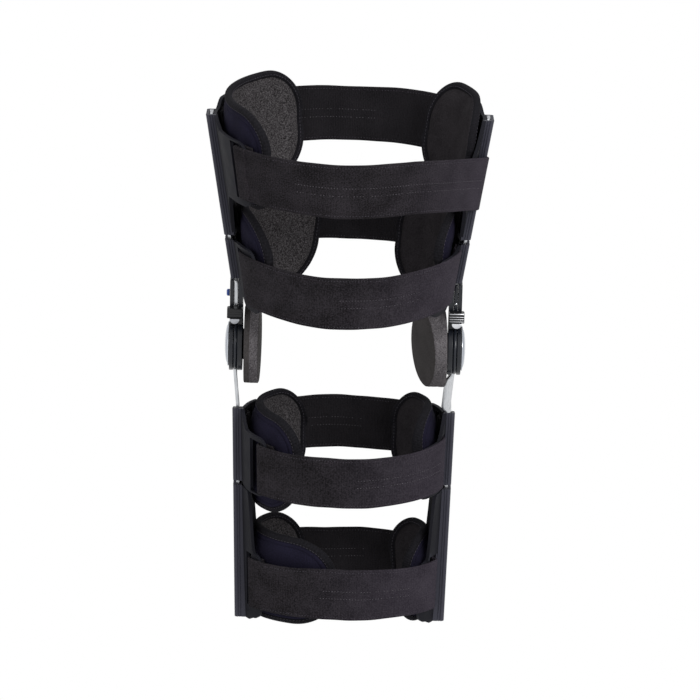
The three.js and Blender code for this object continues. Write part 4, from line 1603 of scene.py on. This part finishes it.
@dataclass(frozen=True)
class CuffPad:
    """A foam pad in jersey and fleece, with a bound edge. Its top and bottom curl in to the leg."""

    name: str
    side: Side
    limb: Limb
    bottom: float
    top: float
    back_deg: float
    front_deg: float
    inner: ClothFinish
    corner: float = 36.0
    low_corner: float = 36.0
    curl: float = 5.0
    low_curl: float = 5.0
    lean: float = 0.0
    swing: float = 0.0

    SPOKES: ClassVar[int] = 104
    FACE_INSET: ClassVar[float] = 20.0
    OUTER_CAP: ClassVar[float] = 0.9
    INNER_CAP: ClassVar[float] = 2.4
    OUTER_OFF: ClassVar[float] = -4.4
    INNER_OFF: ClassVar[float] = -11.7
    MIDDLE_OFF: ClassVar[float] = -7.0
    # The insets and offsets of the two rings that the binding is sewn along.
    SEWN: ClassVar[Pairs] = ((4.4, -4.4), (3.1, -10.3))
    PRESSURE: ClassVar[float] = 4.0
    FRAMES: ClassVar[int] = 20

    @property
    def form(self) -> LegForm:
        """The leg surface that the pad follows."""
        return LEG_FORMS[self.limb]

    @staticmethod
    def rings() -> list[PadRing]:
        """The pad's rings: two sewn grooves on its outer face, the round binding, and its inner face.

        Returns:
            The rings from the middle of the outer face, over the edge, to the middle of the inner face.
        """
        outer, bound, inner = PadBand.OUTER, PadBand.BINDING, PadBand.INNER
        shares = (0.85, 0.65, 0.45, 0.25)
        skin = (
            (20, -4.4, 0), (16, -4.4, 0), (13, -4.4, 0), (11, -4.5, 0.5), (9.8, -4.7, 1),
            (9.2, -5.3, 1), (8.6, -4.6, 1), (7.2, -4.2, 0.8), (5.9, -4.7, 1), (5.4, -5.3, 1),
        )
        edge = (
            (5.0, -5.0), (4.4, -4.4), (3.1, -4.1), (1.8, -4.3), (0.8, -4.9), (0.2, -5.9), (0.0, -7.2),
            (0.2, -8.5), (0.8, -9.5), (1.8, -10.1), (3.1, -10.3), (4.4, -10.0), (5.0, -9.5),
        )
        lining = (
            (5.4, -9.2, 1), (6.6, -10.0, 0.6), (8.6, -10.8, 0.1),
            (11, -11.2, 0), (15, -11.5, 0), (20, -11.6, 0),
        )
        rings = [PadRing(CuffPad.FACE_INSET, CuffPad.OUTER_OFF, outer, 0, share) for share in shares]
        rings += [PadRing(inset, offset, outer, held) for inset, offset, held in skin]
        rings += [PadRing(inset, offset, bound, 1) for inset, offset in edge]
        rings += [PadRing(inset, offset, inner, held) for inset, offset, held in lining]
        rings += [
            PadRing(CuffPad.FACE_INSET, CuffPad.INNER_OFF, inner, 0, share) for share in reversed(shares)
        ]
        return rings

    def outline(self) -> tuple[np.ndarray, np.ndarray, np.ndarray]:
        """The pad's outline as if laid flat, with equal steps round it.

        Returns:
            Its points, its outward directions, and half its width and height.
        """
        mean = self.mean_radius()
        back, front = math.radians(self.back_deg) * mean, math.radians(self.front_deg) * mean
        half = np.array([(back + front) / 2, (self.top - self.bottom) / 2])
        arcs, turns = [], []
        for quarter, (right, up) in enumerate(((1, 1), (-1, 1), (-1, -1), (1, -1))):
            radius = float(self.corner_at(np.array(up), half))
            arc = np.linspace(quarter, quarter + 1, num=41) * QUARTER_TURN
            middle = (half - radius) * (right, up)
            arcs.append(middle + radius * np.column_stack([np.cos(arc), np.sin(arc)]))
            turns.append(arc)
        fine, turn = np.vstack(arcs), np.concatenate(turns)
        loop = np.vstack([fine, fine[:1]])
        run = np.concatenate([[0], np.cumsum(np.linalg.norm(np.diff(loop, axis=0), axis=1))])
        places = np.linspace(0, run[-1], self.SPOKES, endpoint=False)
        turn_loop = np.append(turn, FULL_TURN)
        points = np.column_stack([np.interp(places, run, loop[:, k]) for k in range(2)])
        turns = np.interp(places, run, turn_loop)
        return points, np.column_stack([np.cos(turns), np.sin(turns)]), half

    def corner_at(self, up: np.ndarray, half: np.ndarray) -> np.ndarray:
        """The radius of the corners above or below the pad's middle.

        Args:
            up: Above 0 for the upper corners.
            half: Half the pad's width and height.

        Returns:
            The radius for each.
        """
        return np.minimum(np.where(up > 0, self.corner, self.low_corner), np.min(half) - 1)

    def mean_radius(self) -> float:
        """The radius that turns a distance round the leg to an angle."""
        middle = (self.top + self.bottom) / 2
        return float(self.form.half_width(middle) + self.form.depth(Face.FRONT, middle)) / 2

    def lay(self, flat: np.ndarray, half: np.ndarray, offset: np.ndarray) -> np.ndarray:
        """Lays points of the flat pad on the leg.

        Args:
            flat: Points of the flat pad.
            half: Half its width and height.
            offset: Distances off the leg surface.

        Returns:
            The points on the right side of the leg.
        """
        mean = self.mean_radius()
        radius = self.corner_at(flat[:, 1], half)
        into = np.clip(radius - (half[0] - np.abs(flat[:, 0])), 0, radius)
        tall = half[1] - radius + np.sqrt(radius**2 - into**2)
        share = np.clip(flat[:, 1] / tall, -1, 1)
        shift = math.radians(self.front_deg - self.back_deg) / 2
        angle = (flat[:, 0] - self.lean * flat[:, 1]) / mean + shift
        z = flat[:, 1] + (self.top + self.bottom) / 2
        curl = np.where(flat[:, 1] > 0, self.curl, self.low_curl)
        swung = self.swing * flat[:, 0] / half[0]
        return self.form.points(angle, z, offset + swung - curl * share**2)

    def make(self, bench: Workbench) -> bpy.types.Object:
        """Makes the pad and the stitches along its binding.

        Args:
            bench: Where they are put together.

        Returns:
            The pad, which stands for its node.
        """
        points, outward, half = self.outline()
        rings = self.rings()
        laid, threads, held = [], [], []
        for ring in rings:
            flat = (points - outward * ring.inset) * (1 - ring.centre)
            offset = np.full(len(flat), ring.offset)
            laid.append(self.lay(flat, half, offset))
            if ring.band is PadBand.BINDING:
                run = np.arange(len(flat)) * (FULL_TURN * self.corner / self.SPOKES)
                threads.append(np.column_stack([run, np.full(len(flat), ring.inset), offset]))
            else:
                threads.append(np.column_stack([flat, offset]))
            held.append(np.full(len(flat), ring.held))
        ends = np.zeros((2, 2))
        laid.append(self.lay(ends, half, np.array([rings[0].offset, rings[-1].offset])))
        threads.append(np.array([[0, 0, rings[0].offset], [0, 0, rings[-1].offset]]))
        held.append(np.zeros(2))
        count = len(rings)
        faces = fan_ends(ring_faces(count, self.SPOKES, caps=False), count, self.SPOKES)
        bands = [self.band_between(a, b) for a, b in zip(rings, rings[1:]) for _ in range(self.SPOKES)]
        bands += [PadBand.OUTER.value, PadBand.INNER.value] * self.SPOKES
        draft = Draft()
        draft.add(np.vstack(laid), faces, bands, np.vstack(threads))
        pad = bench.piece(
            f"{self.name}_cushion",
            draft,
            [NAVY_JERSEY, BINDING_TAPE, self.inner],
            self.limb.value,
            [self.name],
            side=self.side,
        )
        self.swell(pad, np.concatenate(held))
        smooth = pad.modifiers.new("smooth", "SUBSURF")
        smooth.levels = smooth.render_levels = 1
        settle_modifiers(pad)
        self.make_seams(bench, laid, rings)
        return pad

    @staticmethod
    def band_between(ring: PadRing, after: PadRing) -> int:
        """Finds the band of the faces between two rings: the binding's where either ring is on it.

        Args:
            ring: A ring.
            after: The next ring.

        Returns:
            The band's number.
        """
        if PadBand.BINDING in (ring.band, after.band):
            return PadBand.BINDING.value
        return ring.band.value

    def swell(self, pad: bpy.types.Object, held: np.ndarray) -> None:
        """Swells the pad's two faces as the foam fills them, by a cloth simulation held at the binding.

        Args:
            pad: The pad, whose points are moved.
            held: How firmly each point is held.
        """
        group = pad.vertex_groups.new(name="held")
        for weight in np.unique(held[held > 0]):
            group.add([int(i) for i in np.flatnonzero(held == weight)], float(weight), "REPLACE")
        cloth = pad.modifiers.new("swell", "CLOTH")
        settings = cloth.settings
        settings.vertex_group_mass = group.name
        settings.use_pressure = True
        settings.uniform_pressure_force = self.PRESSURE
        settings.effector_weights.gravity = 0.0
        settings.mass = 0.2
        settings.quality = 6
        settings.tension_stiffness = settings.compression_stiffness = 12.0
        settings.bending_stiffness = 0.4
        settings.shrink_min = -0.02
        scene = bpy.context.scene
        for frame in range(1, self.FRAMES + 1):
            scene.frame_set(frame)
        shown = pad.evaluated_get(bpy.context.evaluated_depsgraph_get()).data
        count = len(pad.data.vertices)
        rest, moved = np.empty(count * 3), np.empty(count * 3)
        pad.data.vertices.foreach_get("co", rest)
        shown.vertices.foreach_get("co", moved)
        shift = (moved - rest).reshape(-1, 3)
        length = np.linalg.norm(shift, axis=1, keepdims=True)
        first_inner = self.SPOKES * sum(ring.offset > self.MIDDLE_OFF for ring in self.rings())
        cap = np.where(np.arange(count) < first_inner, self.OUTER_CAP, self.INNER_CAP) * MM
        cap[-2:] = (self.OUTER_CAP * MM, self.INNER_CAP * MM)
        held_back = np.minimum(1, cap[:, None] / np.maximum(length, 1e-9))
        pad.modifiers.clear()
        pad.vertex_groups.clear()
        pad.data.vertices.foreach_set("co", (rest.reshape(-1, 3) + shift * held_back).ravel())
        pad.data.update()
        scene.frame_set(1)

    def make_seams(self, bench: Workbench, laid: list[np.ndarray], rings: list[PadRing]) -> bpy.types.Object:
        """Makes the stitches along both sides of the binding.

        Args:
            bench: Where they are put together.
            laid: The rings' points on the leg.
            rings: The rings.

        Returns:
            The stitches, as one piece.
        """
        draft = Draft()
        sewing = Stitching(pitch=3.0, length=2.2, radius=0.26)
        for index in (i for i, ring in enumerate(rings) if (ring.inset, ring.offset) in self.SEWN):
            line = np.vstack([laid[index], laid[index][:1]])
            along = np.roll(laid[index], -1, axis=0) - laid[index]
            way = laid[index + 1] - laid[index - 1]
            out = np.cross(along, way)
            off = -1 if rings[index].offset < self.MIDDLE_OFF else 1
            facing = np.sign(np.sum(out * (laid[index] * (1, 1, 0)), axis=1, keepdims=True)) * off
            out = out * np.where(facing == 0, 1, facing)
            sewing.sew(draft, line, np.vstack([out, out[:1]]))
        # The binding's thread is drawn light: a painted highlight along the binding.
        return bench.piece(
            f"{self.name}_stitches", draft, [HIGHLIT_BLACK_THREAD], self.limb.value, side=self.side
        )


# The right pads' inner faces take the darker fleece: painted shade.
PADS = (
    CuffPad("thigh_upper_pad_left", Side.LEFT, Limb.THIGH, 134, 224, 66, 49, CHARCOAL_FLEECE),
    CuffPad(
        "thigh_upper_pad_right", Side.RIGHT, Limb.THIGH, 139, 224, 49, 14, SHADED_FLEECE,
        corner=50.0, curl=2.0, swing=3.0,
    ),
    CuffPad("thigh_lower_pad_left", Side.LEFT, Limb.THIGH, 44, 127, 74, 43, CHARCOAL_FLEECE, lean=0.2),
    CuffPad("thigh_lower_pad_right", Side.RIGHT, Limb.THIGH, 44, 127, 61, 28, SHADED_FLEECE),
    CuffPad(
        "calf_upper_pad_left", Side.LEFT, Limb.CALF, -141, -49, 66, 62, CHARCOAL_FLEECE,
        curl=8.0, low_curl=3.0,
    ),
    CuffPad("calf_upper_pad_right", Side.RIGHT, Limb.CALF, -133, -48, 58, 35, SHADED_FLEECE, curl=8.0),
    CuffPad(
        "calf_lower_pad_left", Side.LEFT, Limb.CALF, -245.6, -161, 66, 88, CHARCOAL_FLEECE,
        low_corner=34.0, low_curl=2.0,
    ),
    CuffPad(
        "calf_lower_pad_right", Side.RIGHT, Limb.CALF, -245.6, -162, 56, 46, SHADED_FLEECE,
        low_corner=24.0, low_curl=2.0, lean=0.1,
    ),
)


# Uprights and hinges


@dataclass(frozen=True)
class BarSet:
    """The brushed bars on one side: the thigh's, and the calf's with its round head."""

    side: Side
    twist_deg: float
    shift: float
    corner: float = 0.7
    head_radius: float = 22.0
    thigh_bottom: float = 24.0
    thigh_top: float = 205.0
    calf_bottom: float = -238.0

    BARE_FROM: ClassVar[float] = 18.0
    BARE_TO: ClassVar[float] = 50.0
    BARE_EASE: ClassVar[float] = 10.0
    ARM_STOPS: ClassVar[tuple[float, ...]] = (40.0, 57.0)
    NECK_STOPS: ClassVar[tuple[float, ...]] = (-12.0, -18.0, -22.0)
    SETTLE: ClassVar[tuple[float, ...]] = (4.0, 8.0)
    HEAD_EDGE: ClassVar[float] = 0.6

    def bare_at(self, z: float) -> float:
        """How far a height is from the hinge above and the bracket below: 1 well between them, else 0."""
        below = ease((-z - self.BARE_FROM) / self.BARE_EASE)
        return float(below * (1 - ease((-z - self.BARE_TO) / self.BARE_EASE)))

    def add_bar(self, draft: Draft, heights: np.ndarray, finish: int = 0) -> None:
        """Adds a bar.

        Args:
            draft: The bar so far.
            heights: The heights that it runs through.
            finish: The number of its finish.
        """
        half = np.array([UPRIGHTS.thickness, UPRIGHTS.width]) / 2
        section = rounded_box(-half, half, self.corner, steps=3)
        rings = []
        for z in heights:
            bare = self.bare_at(z)
            turn = math.radians(self.twist_deg) * bare
            x = section[:, 0] * math.cos(turn) + section[:, 1] * math.sin(turn)
            x = x + UPRIGHTS.x_at(z) - self.shift * bare
            y = section[:, 1] * math.cos(turn) - section[:, 0] * math.sin(turn)
            rings.append(np.column_stack([x, y, np.full(len(section), z)]))
        draft.add(np.vstack(rings), ring_faces(len(rings), len(section)), finish)

    def make(self, bench: Workbench) -> None:
        """Makes both bars of this side.

        Args:
            bench: Where they are put together.
        """
        thigh = Draft()
        upper = np.linspace(UPRIGHTS.bend_z, self.thigh_top, num=8)
        foot = np.array([self.thigh_bottom, *self.ARM_STOPS, UPRIGHTS.bend_z])
        # On the right the bar's foot between the hinge arms takes the dark coated finish, a painted shade;
        # the left foot stays brushed aluminium.
        self.add_bar(thigh, foot, 1 if self.side is Side.RIGHT else 0)
        self.add_bar(thigh, upper)
        calf = Draft()
        lower = np.linspace(UPRIGHTS.jog_bottom, self.calf_bottom, num=8)
        jog = np.linspace(UPRIGHTS.jog_top, UPRIGHTS.jog_bottom, num=14)
        settled = [UPRIGHTS.jog_bottom - step for step in self.SETTLE]
        self.add_bar(calf, np.concatenate([self.NECK_STOPS, jog, settled, lower[1:]]))
        inner = UPRIGHTS.middle - UPRIGHTS.thickness / 2
        outer = UPRIGHTS.middle + UPRIGHTS.thickness / 2
        r, edge = self.head_radius, self.HEAD_EDGE
        profile = [(inner, 0), (inner, r - edge), (inner + edge, r)]
        profile += [(outer - edge, r), (outer, r - edge), (outer, 0)]
        points, faces = lathe_along_x(profile, spokes=72)
        calf.add(points, faces, 1)
        for name, draft, body in (("thigh_bar", thigh, "thigh"), ("calf_bar", calf, "calf")):
            node = f"{name}_{self.side.word}"
            finishes = [ANODISED_ALUMINIUM, COATED_STEEL]
            bench.piece(f"{node}_brushed", draft, finishes, body, [node], side=self.side)


# How far the bar below each hinge is turned, in degrees, and set in towards the leg.
BAR_SETS = {Side.LEFT: (3.0, 0.0), Side.RIGHT: (20.0, 3.5)}


@dataclass(frozen=True)
class Hinge:
    """The hinge on one side: two coated plates with arms, a domed cap, its lock and its button."""

    side: Side
    plate_radius: float = 22.5
    arm_top: float = 60.0
    inner_from: float = 87.0
    inner_to: float = 91.15
    outer_from: float = 94.85
    outer_to: float = 98.2
    cap_radius: float = 19.0
    gap: float = 0.35

    PLATE_EDGE: ClassVar[float] = 0.45
    # The cap's rim: heights off the plate, and distances in from the cap's radius.
    CAP_RIM: ClassVar[Pairs] = (
        (0, 0.4), (0.4, 0), (1.0, 0.2), (1.2, 1.2), (0.9, 1.9), (1.1, 2.6),
    )
    DOME: ClassVar[float] = 2.4
    DOME_TRIM: ClassVar[float] = 0.15
    SLIDER_LOW: ClassVar[float] = 28.0
    SLIDER_HIGH: ClassVar[float] = 37.0
    SLIDER_FRONT: ClassVar[float] = -15.9
    SLIDER_WALL: ClassVar[float] = 1.8
    SLIDER_BAND: ClassVar[float] = 2.0
    SLIDER_EDGE: ClassVar[float] = 0.7
    # The grip ribs: heights on the slider, and radii. Their ends: insets, and shares of the radius.
    RIBS: ClassVar[Pairs] = ((1.5, 0.34), (3.6, 0.34), (5.7, 0.34), (8.3, 0.55))
    RIB_END: ClassVar[Pairs] = ((0.3, 0), (0.3, 0.6), (0.7, 1))
    RIB_IN: ClassVar[float] = 0.1
    TONGUE_HALF: ClassVar[float] = 4.2
    TONGUE_BOTTOM: ClassVar[float] = 23.2
    TONGUE_THICK: ClassVar[float] = 1.5
    TONGUE_EDGE: ClassVar[float] = 0.5
    BUTTON_Z: ClassVar[float] = 46.0
    BUTTON_FORM: ClassVar[Pairs] = (
        (0, 0), (0, 3.0), (1.6, 3.0), (2.4, 2.6), (2.7, 1.6), (2.5, 0),
    )
    RIVET_Z: ClassVar[float] = 43.0
    RIVET_FORM: ClassVar[Pairs] = ((0, 0), (0, 1.3), (0.4, 1.2), (0.8, 0.7), (0.9, 0))

    @property
    def outer_face(self) -> float:
        """Where pieces on the outer plate start."""
        return self.outer_to + self.gap

    @property
    def slider_span(self) -> tuple[float, float]:
        """Where the slider starts and ends, from the leg outward."""
        return self.inner_from + self.gap, self.outer_face + self.SLIDER_WALL

    def plate_outline(self) -> np.ndarray:
        """A hinge plate's outline: a disc with an arm up the bar.

        Returns:
            Its points in Y and Z.
        """
        half = UPRIGHTS.width / 2
        meet = math.asin(half / self.plate_radius)
        turn = np.linspace(QUARTER_TURN + meet, QUARTER_TURN - meet + FULL_TURN, num=64)
        disc = self.plate_radius * np.column_stack([np.cos(turn), np.sin(turn)])
        return np.vstack([[(half, self.arm_top), (-half, self.arm_top)], disc])

    def make_plates(self, bench: Workbench) -> None:
        """Makes the two plates.

        Args:
            bench: Where they are put together.
        """
        outline = self.plate_outline()
        spans = {"inner": (self.inner_from, self.inner_to), "outer": (self.outer_from, self.outer_to)}
        for word, (low, high) in spans.items():
            draft = Draft()
            draft.add(*prism(outline, 0, low, high))
            node = f"hinge_{word}_plate_{self.side.word}"
            bench.piece(f"{node}_coated", draft, [COATED_STEEL], "thigh", [node], self.PLATE_EDGE, self.side)

    def make_cap(self, bench: Workbench) -> None:
        """Makes the domed cap.

        Args:
            bench: Where it is put together.
        """
        base, r = self.outer_face, self.cap_radius
        rim_up, rim_in = self.CAP_RIM[-1]
        profile = [(base, 0)] + [(base + up, r - inset) for up, inset in self.CAP_RIM]
        profile += [
            (base + rim_up + self.DOME * math.sin(t), (r - rim_in) * math.cos(t))
            for t in np.linspace(self.DOME_TRIM, QUARTER_TURN - self.DOME_TRIM, num=10)
        ]
        profile += [(base + rim_up + self.DOME, 0)]
        cap = Draft()
        cap.add(*lathe_along_x(profile, spokes=96))
        node = f"hinge_cap_{self.side.word}"
        bench.piece(f"{node}_domed", cap, [CHROMED_STEEL], "thigh", [node], side=self.side)

    def make_slider(self, bench: Workbench) -> None:
        """Makes the lock's slider with its grip ribs.

        Args:
            bench: Where they are put together.
        """
        low, front, wall = self.SLIDER_LOW, self.SLIDER_FRONT, self.SLIDER_WALL
        inner, outer = self.slider_span
        slot = UPRIGHTS.width / 2 + self.gap
        back = slot + wall
        walls = np.array(
            [
                (inner, front), (outer, front), (outer, back), (inner, back),
                (inner, slot), (outer - wall, slot), (outer - wall, -slot), (inner, -slot),
            ]
        )
        grip = np.array([(inner, front), (outer, front), (outer, -slot), (inner, -slot)])
        body = f"lock_{self.side.word}"
        slider = Draft()
        slider.add(*prism(walls, 2, low, low + self.SLIDER_BAND))
        slider.add(*prism(grip, 2, low, self.SLIDER_HIGH))
        node = f"lock_slider_{self.side.word}"
        bench.piece(f"{node}_moulded", slider, [BLACK_ACETAL], body, [node], self.SLIDER_EDGE, self.side)
        ribs = Draft()
        for up, radius in self.RIBS:
            reach = [(inset, radius * share) for inset, share in self.RIB_END]
            rib = [(inner + x, r) for x, r in reach] + [(outer - x, r) for x, r in reversed(reach)]
            points, faces = lathe_along_x(rib, spokes=16)
            ribs.add(points + (0, front + self.RIB_IN, low + up), faces)
        # The right ribs are bright zinc, a painted highlight where the key light catches them; the left ones
        # stay black.
        trim = PLATED_ZINC if self.side is Side.RIGHT else BLACK_ACETAL
        bench.piece(f"{node}_ribs", ribs, [trim], body, side=self.side)

    def make_tongue(self, bench: Workbench) -> None:
        """Makes the lock's tongue, below its slider.

        Args:
            bench: Where it is put together.
        """
        half, front = self.TONGUE_HALF, self.SLIDER_FRONT
        turn = np.linspace(math.pi, FULL_TURN, num=20)
        middle = sum(self.slider_span) / 2
        round_z = self.TONGUE_BOTTOM + half + half * np.sin(turn)
        end = np.column_stack([middle + half * np.cos(turn), round_z])
        top = self.SLIDER_LOW - self.gap
        outline = np.vstack([end, [(middle + half, top), (middle - half, top)]])
        tongue = Draft()
        tongue.add(*prism(outline, 1, front, front + self.TONGUE_THICK))
        node = f"lock_tongue_{self.side.word}"
        # The left tongue takes the darker zinc: painted shade.
        plating = PLATED_ZINC if self.side is Side.RIGHT else SHADED_ZINC
        body = f"lock_{self.side.word}"
        bench.piece(f"{node}_plated", tongue, [plating], body, [node], self.TONGUE_EDGE, self.side)

    def make_button(self, bench: Workbench) -> None:
        """Makes the release button on the left arm.

        Args:
            bench: Where it is put together.
        """
        profile = [(self.outer_face + up, r) for up, r in self.BUTTON_FORM]
        points, faces = lathe_along_x(profile, spokes=40)
        button = Draft()
        button.add(points + (0, 0, self.BUTTON_Z), faces)
        node = "lock_button_left"
        bench.piece(f"{node}_moulded", button, [BLUE_ABS], "thigh", [node], side=self.side)

    def make_rivet(self, bench: Workbench) -> None:
        """Makes the rivet head on the right bar's front edge.

        Args:
            bench: Where it is put together.
        """
        points, faces = lathe_along_x(self.RIVET_FORM, spokes=24)
        turned = np.column_stack([points[:, 1], -points[:, 0], points[:, 2]])
        rivet = Draft()
        rivet.add(turned + (UPRIGHTS.middle, -UPRIGHTS.width / 2, self.RIVET_Z), faces)
        bench.piece(f"thigh_bar_{self.side.word}_rivet", rivet, [TURNED_STEEL], "thigh", side=self.side)

    def make(self, bench: Workbench) -> None:
        """Makes the whole hinge.

        Args:
            bench: Where it is put together.
        """
        self.make_plates(bench)
        self.make_cap(bench)
        self.make_slider(bench)
        self.make_tongue(bench)
        if self.side is Side.LEFT:
            self.make_button(bench)
        else:
            self.make_rivet(bench)


@dataclass(frozen=True)
class CondylePad:
    """A round foam pad inside a hinge, cut square at its edge, with a smooth skin on both faces.

    Its inner face is turned to the front by toe_deg. The skin goes round the edge as far as backing.
    """

    side: Side
    toe_deg: float
    backing: float
    radius: float = 33.0
    thickness: float = 12.0
    outer_x: float = 86.65
    outer_toe_deg: float = 0.0

    SPOKES: ClassVar[int] = 120
    FACE_RINGS: ClassVar[tuple[float, ...]] = (0.25, 0.5, 0.75, 0.9)
    # The rounding between face and edge: depths, and distances in from the radius.
    ROUNDING: ClassVar[Pairs] = ((0, 1.2), (0.3, 0.4))
    EDGE_IN: ClassVar[float] = 0.8
    CROWN: ClassVar[float] = 0.5
    CRUMB: ClassVar[float] = 0.16
    CRUMB_SEED: ClassVar[int] = 20
    DISC_RADIUS: ClassVar[float] = 13.0
    DISC_EDGE: ClassVar[float] = 0.2
    DISC_SUNK: ClassVar[float] = 0.3
    HINGE_X: ClassVar[float] = 86.95

    def outer_at(self, y: np.ndarray) -> np.ndarray:
        """Finds the pad's outer face, which leaves the hinge a little towards the back.

        Args:
            y: Places from the front of the leg to its back.

        Returns:
            The face's X at each of them.
        """
        return self.outer_x - math.tan(math.radians(self.outer_toe_deg)) * (y + self.radius)

    def make(self, bench: Workbench) -> bpy.types.Object:
        """Makes the pad.

        Args:
            bench: Where it is put together.

        Returns:
            The pad, which stands for its node.
        """
        r, t = self.radius, self.thickness
        shares = self.FACE_RINGS
        profile = [(0, 0)] + [(0, r * share) for share in shares]
        profile += [(depth, r - inset) for depth, inset in self.ROUNDING]
        profile += [(depth, r) for depth in np.linspace(self.EDGE_IN, t - self.EDGE_IN, num=9)]
        profile += [(t - depth, r - inset) for depth, inset in reversed(self.ROUNDING)]
        profile += [(t + self.CROWN * (1 - share**2), r * share) for share in reversed(shares)]
        profile += [(t + self.CROWN, 0)]
        points, faces = lathe_along_x(profile, self.SPOKES)
        rings = len(profile) - 2
        first, last = len(shares) + 1, rings - len(shares) - 2
        bare = [profile[ring + 1][0] >= self.backing for ring in range(rings - 1)]
        bands = [
            0 if first <= ring < last and bare[ring] else 1
            for ring in range(rings - 1)
            for _ in range(self.SPOKES)
        ]
        bands += [1] * (2 * self.SPOKES)
        chance = np.random.default_rng(self.CRUMB_SEED + self.side.value)
        crumb = chance.normal(0, self.CRUMB, len(points))
        on_edge = np.zeros(len(points), bool)
        on_edge[(first + 1) * self.SPOKES : last * self.SPOKES] = True
        scale = 1 + np.where(on_edge, crumb, 0) / r
        points[:, 1:] *= scale[:, None]
        taper = math.tan(math.radians(self.toe_deg)) - math.tan(math.radians(self.outer_toe_deg))
        share = points[:, 0] / t
        x = self.outer_at(points[:, 1]) - points[:, 0] - share * taper * (points[:, 1] + r)
        draft = Draft()
        threads = np.column_stack([points[:, 1], points[:, 2], points[:, 0]])
        draft.add(np.column_stack([x, points[:, 1], points[:, 2]]), faces, bands, threads)
        node = f"condyle_pad_{self.side.word}"
        pad = bench.piece(f"{node}_foam", draft, [CHIP_FOAM, FOAM_SKIN], "thigh", [node], side=self.side)
        return pad

    def make_hook_disc(self, bench: Workbench) -> None:
        """Makes the round hook patch that holds the pad to the hinge.

        Args:
            bench: Where it is put together.
        """
        r, edge = self.DISC_RADIUS, self.DISC_EDGE
        profile = [(0, 0), (0, r - edge), (edge, r), (1, r), (1, 0)]
        points, faces = lathe_along_x(profile, spokes=64)
        low = self.outer_at(points[:, 1]) - self.DISC_SUNK
        x = low + points[:, 0] * (self.HINGE_X - low)
        disc = Draft()
        disc.add(np.column_stack([x, points[:, 1], points[:, 2]]), faces)
        bench.piece(f"condyle_pad_{self.side.word}_hook", disc, [BINDING_TAPE], "thigh", side=self.side)


CONDYLE_PADS = (
    CondylePad(Side.LEFT, 2.0, 3.4, outer_x=85.6),
    CondylePad(Side.RIGHT, 17.0, 0.0, thickness=10.5, outer_toe_deg=3.0),
)


# Studio


@dataclass(frozen=True)
class SoftLight:
    """A square light that faces the knee: its place and the length of its sides in metres, and its watts."""

    name: str
    place: tuple[float, float, float]
    size: float
    power: float

    def make(self, aim: Vector) -> None:
        """Makes the light.

        Args:
            aim: The point that it faces.
        """
        lamp = bpy.data.lights.new(self.name, "AREA")
        lamp.size = self.size
        lamp.energy = self.power
        light = bpy.data.objects.new(self.name, lamp)
        light.location = self.place
        light.rotation_mode = "QUATERNION"
        light.rotation_quaternion = (aim - Vector(self.place)).to_track_quat("-Z", "Y")
        bpy.context.scene.collection.objects.link(light)


LIGHTS = (
    SoftLight("key", (1.3, -1.6, 1.5), 0.9, 32),
    SoftLight("fill", (-1.6, -1.2, 0.9), 1.2, 6),
    SoftLight("top", (0.0, 0.4, 2.0), 1.2, 7),
)


@dataclass(frozen=True)
class Studio:
    """A white floor lit from below, soft lights and a camera at the photograph's viewing angle."""

    elevation_deg: float = 20.0
    roll_deg: float = 1.27
    distance: float = 4.5
    lens: float = 272.3
    sensor: float = 36.0
    sky: float = 0.9
    aim_mm: tuple[float, float, float] = (4.25, 0.0, -3.6)
    floor_half: float = 14.0

    def make_floor(self) -> None:
        """Makes the floor."""
        mesh = bpy.data.meshes.new("floor")
        h = self.floor_half
        mesh.from_pydata([(-h, -h, 0), (h, -h, 0), (h, h, 0), (-h, h, 0)], [], [(0, 1, 2, 3)])
        floor = bpy.data.objects.new("floor", mesh)
        material = bpy.data.materials.new("lit_white_panel")
        material.use_nodes = True
        shader = material.node_tree.nodes["Principled BSDF"]
        shader.inputs["Base Color"].default_value = to_linear("#000000")
        shader.inputs["Specular IOR Level"].default_value = 0.0
        shader.inputs["Emission Color"].default_value = to_linear("#ffffff")
        shader.inputs["Emission Strength"].default_value = 1.0
        mesh.materials.append(material)
        bpy.context.scene.collection.objects.link(floor)

    def make(self, knee: Vector) -> None:
        """Makes the floor, the lights and the camera.

        Args:
            knee: The middle of the knee axis.
        """
        scene = bpy.context.scene
        scene.view_settings.view_transform = "Standard"
        self.make_floor()
        world = bpy.data.worlds.new("studio")
        world.use_nodes = True
        backdrop = world.node_tree.nodes["Background"]
        backdrop.inputs["Color"].default_value = to_linear("#ffffff")
        backdrop.inputs["Strength"].default_value = self.sky
        scene.world = world
        for light in LIGHTS:
            light.make(knee)
        lens = bpy.data.cameras.new("camera")
        lens.lens = self.lens
        lens.sensor_width = self.sensor
        camera = bpy.data.objects.new("camera", lens)
        tilt = math.radians(self.elevation_deg)
        back = Vector((0, -math.cos(tilt), math.sin(tilt)))
        camera.location = knee + Vector(self.aim_mm) * MM + back * self.distance
        camera.rotation_mode = "QUATERNION"
        roll = Quaternion((0, 0, 1), math.radians(self.roll_deg))
        camera.rotation_quaternion = (-back).to_track_quat("-Z", "Y") @ roll
        scene.collection.objects.link(camera)
        scene.camera = camera


def main() -> None:
    """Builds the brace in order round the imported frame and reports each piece."""
    logging.basicConfig(level=logging.INFO, format="%(name)s: %(message)s")
    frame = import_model()
    hinge = next(joint for joint in frame["joints"] if joint["name"] == "knee_hinge")
    knee = Vector(hinge["pos_m"])
    bench = Workbench(np.array(knee))
    Studio().make(knee)
    for side in Side:
        BarSet(side, *BAR_SETS[side]).make(bench)
        Hinge(side).make(bench)
        pin = frame["nodes"][f"hinge_pin_{side.word}"].data
        pin.materials.clear()
        pin.materials.append(TURNED_STEEL.material())
        for bracket in BRACKETS.values():
            bracket.make(bench, side)
    for foam in CONDYLE_PADS:
        foam.make(bench)
        foam.make_hook_disc(bench)
    for strap in STRAPS:
        strap.make(bench)
    for pad in PADS:
        pad.make(bench)


if __name__ == "__main__":
    main()
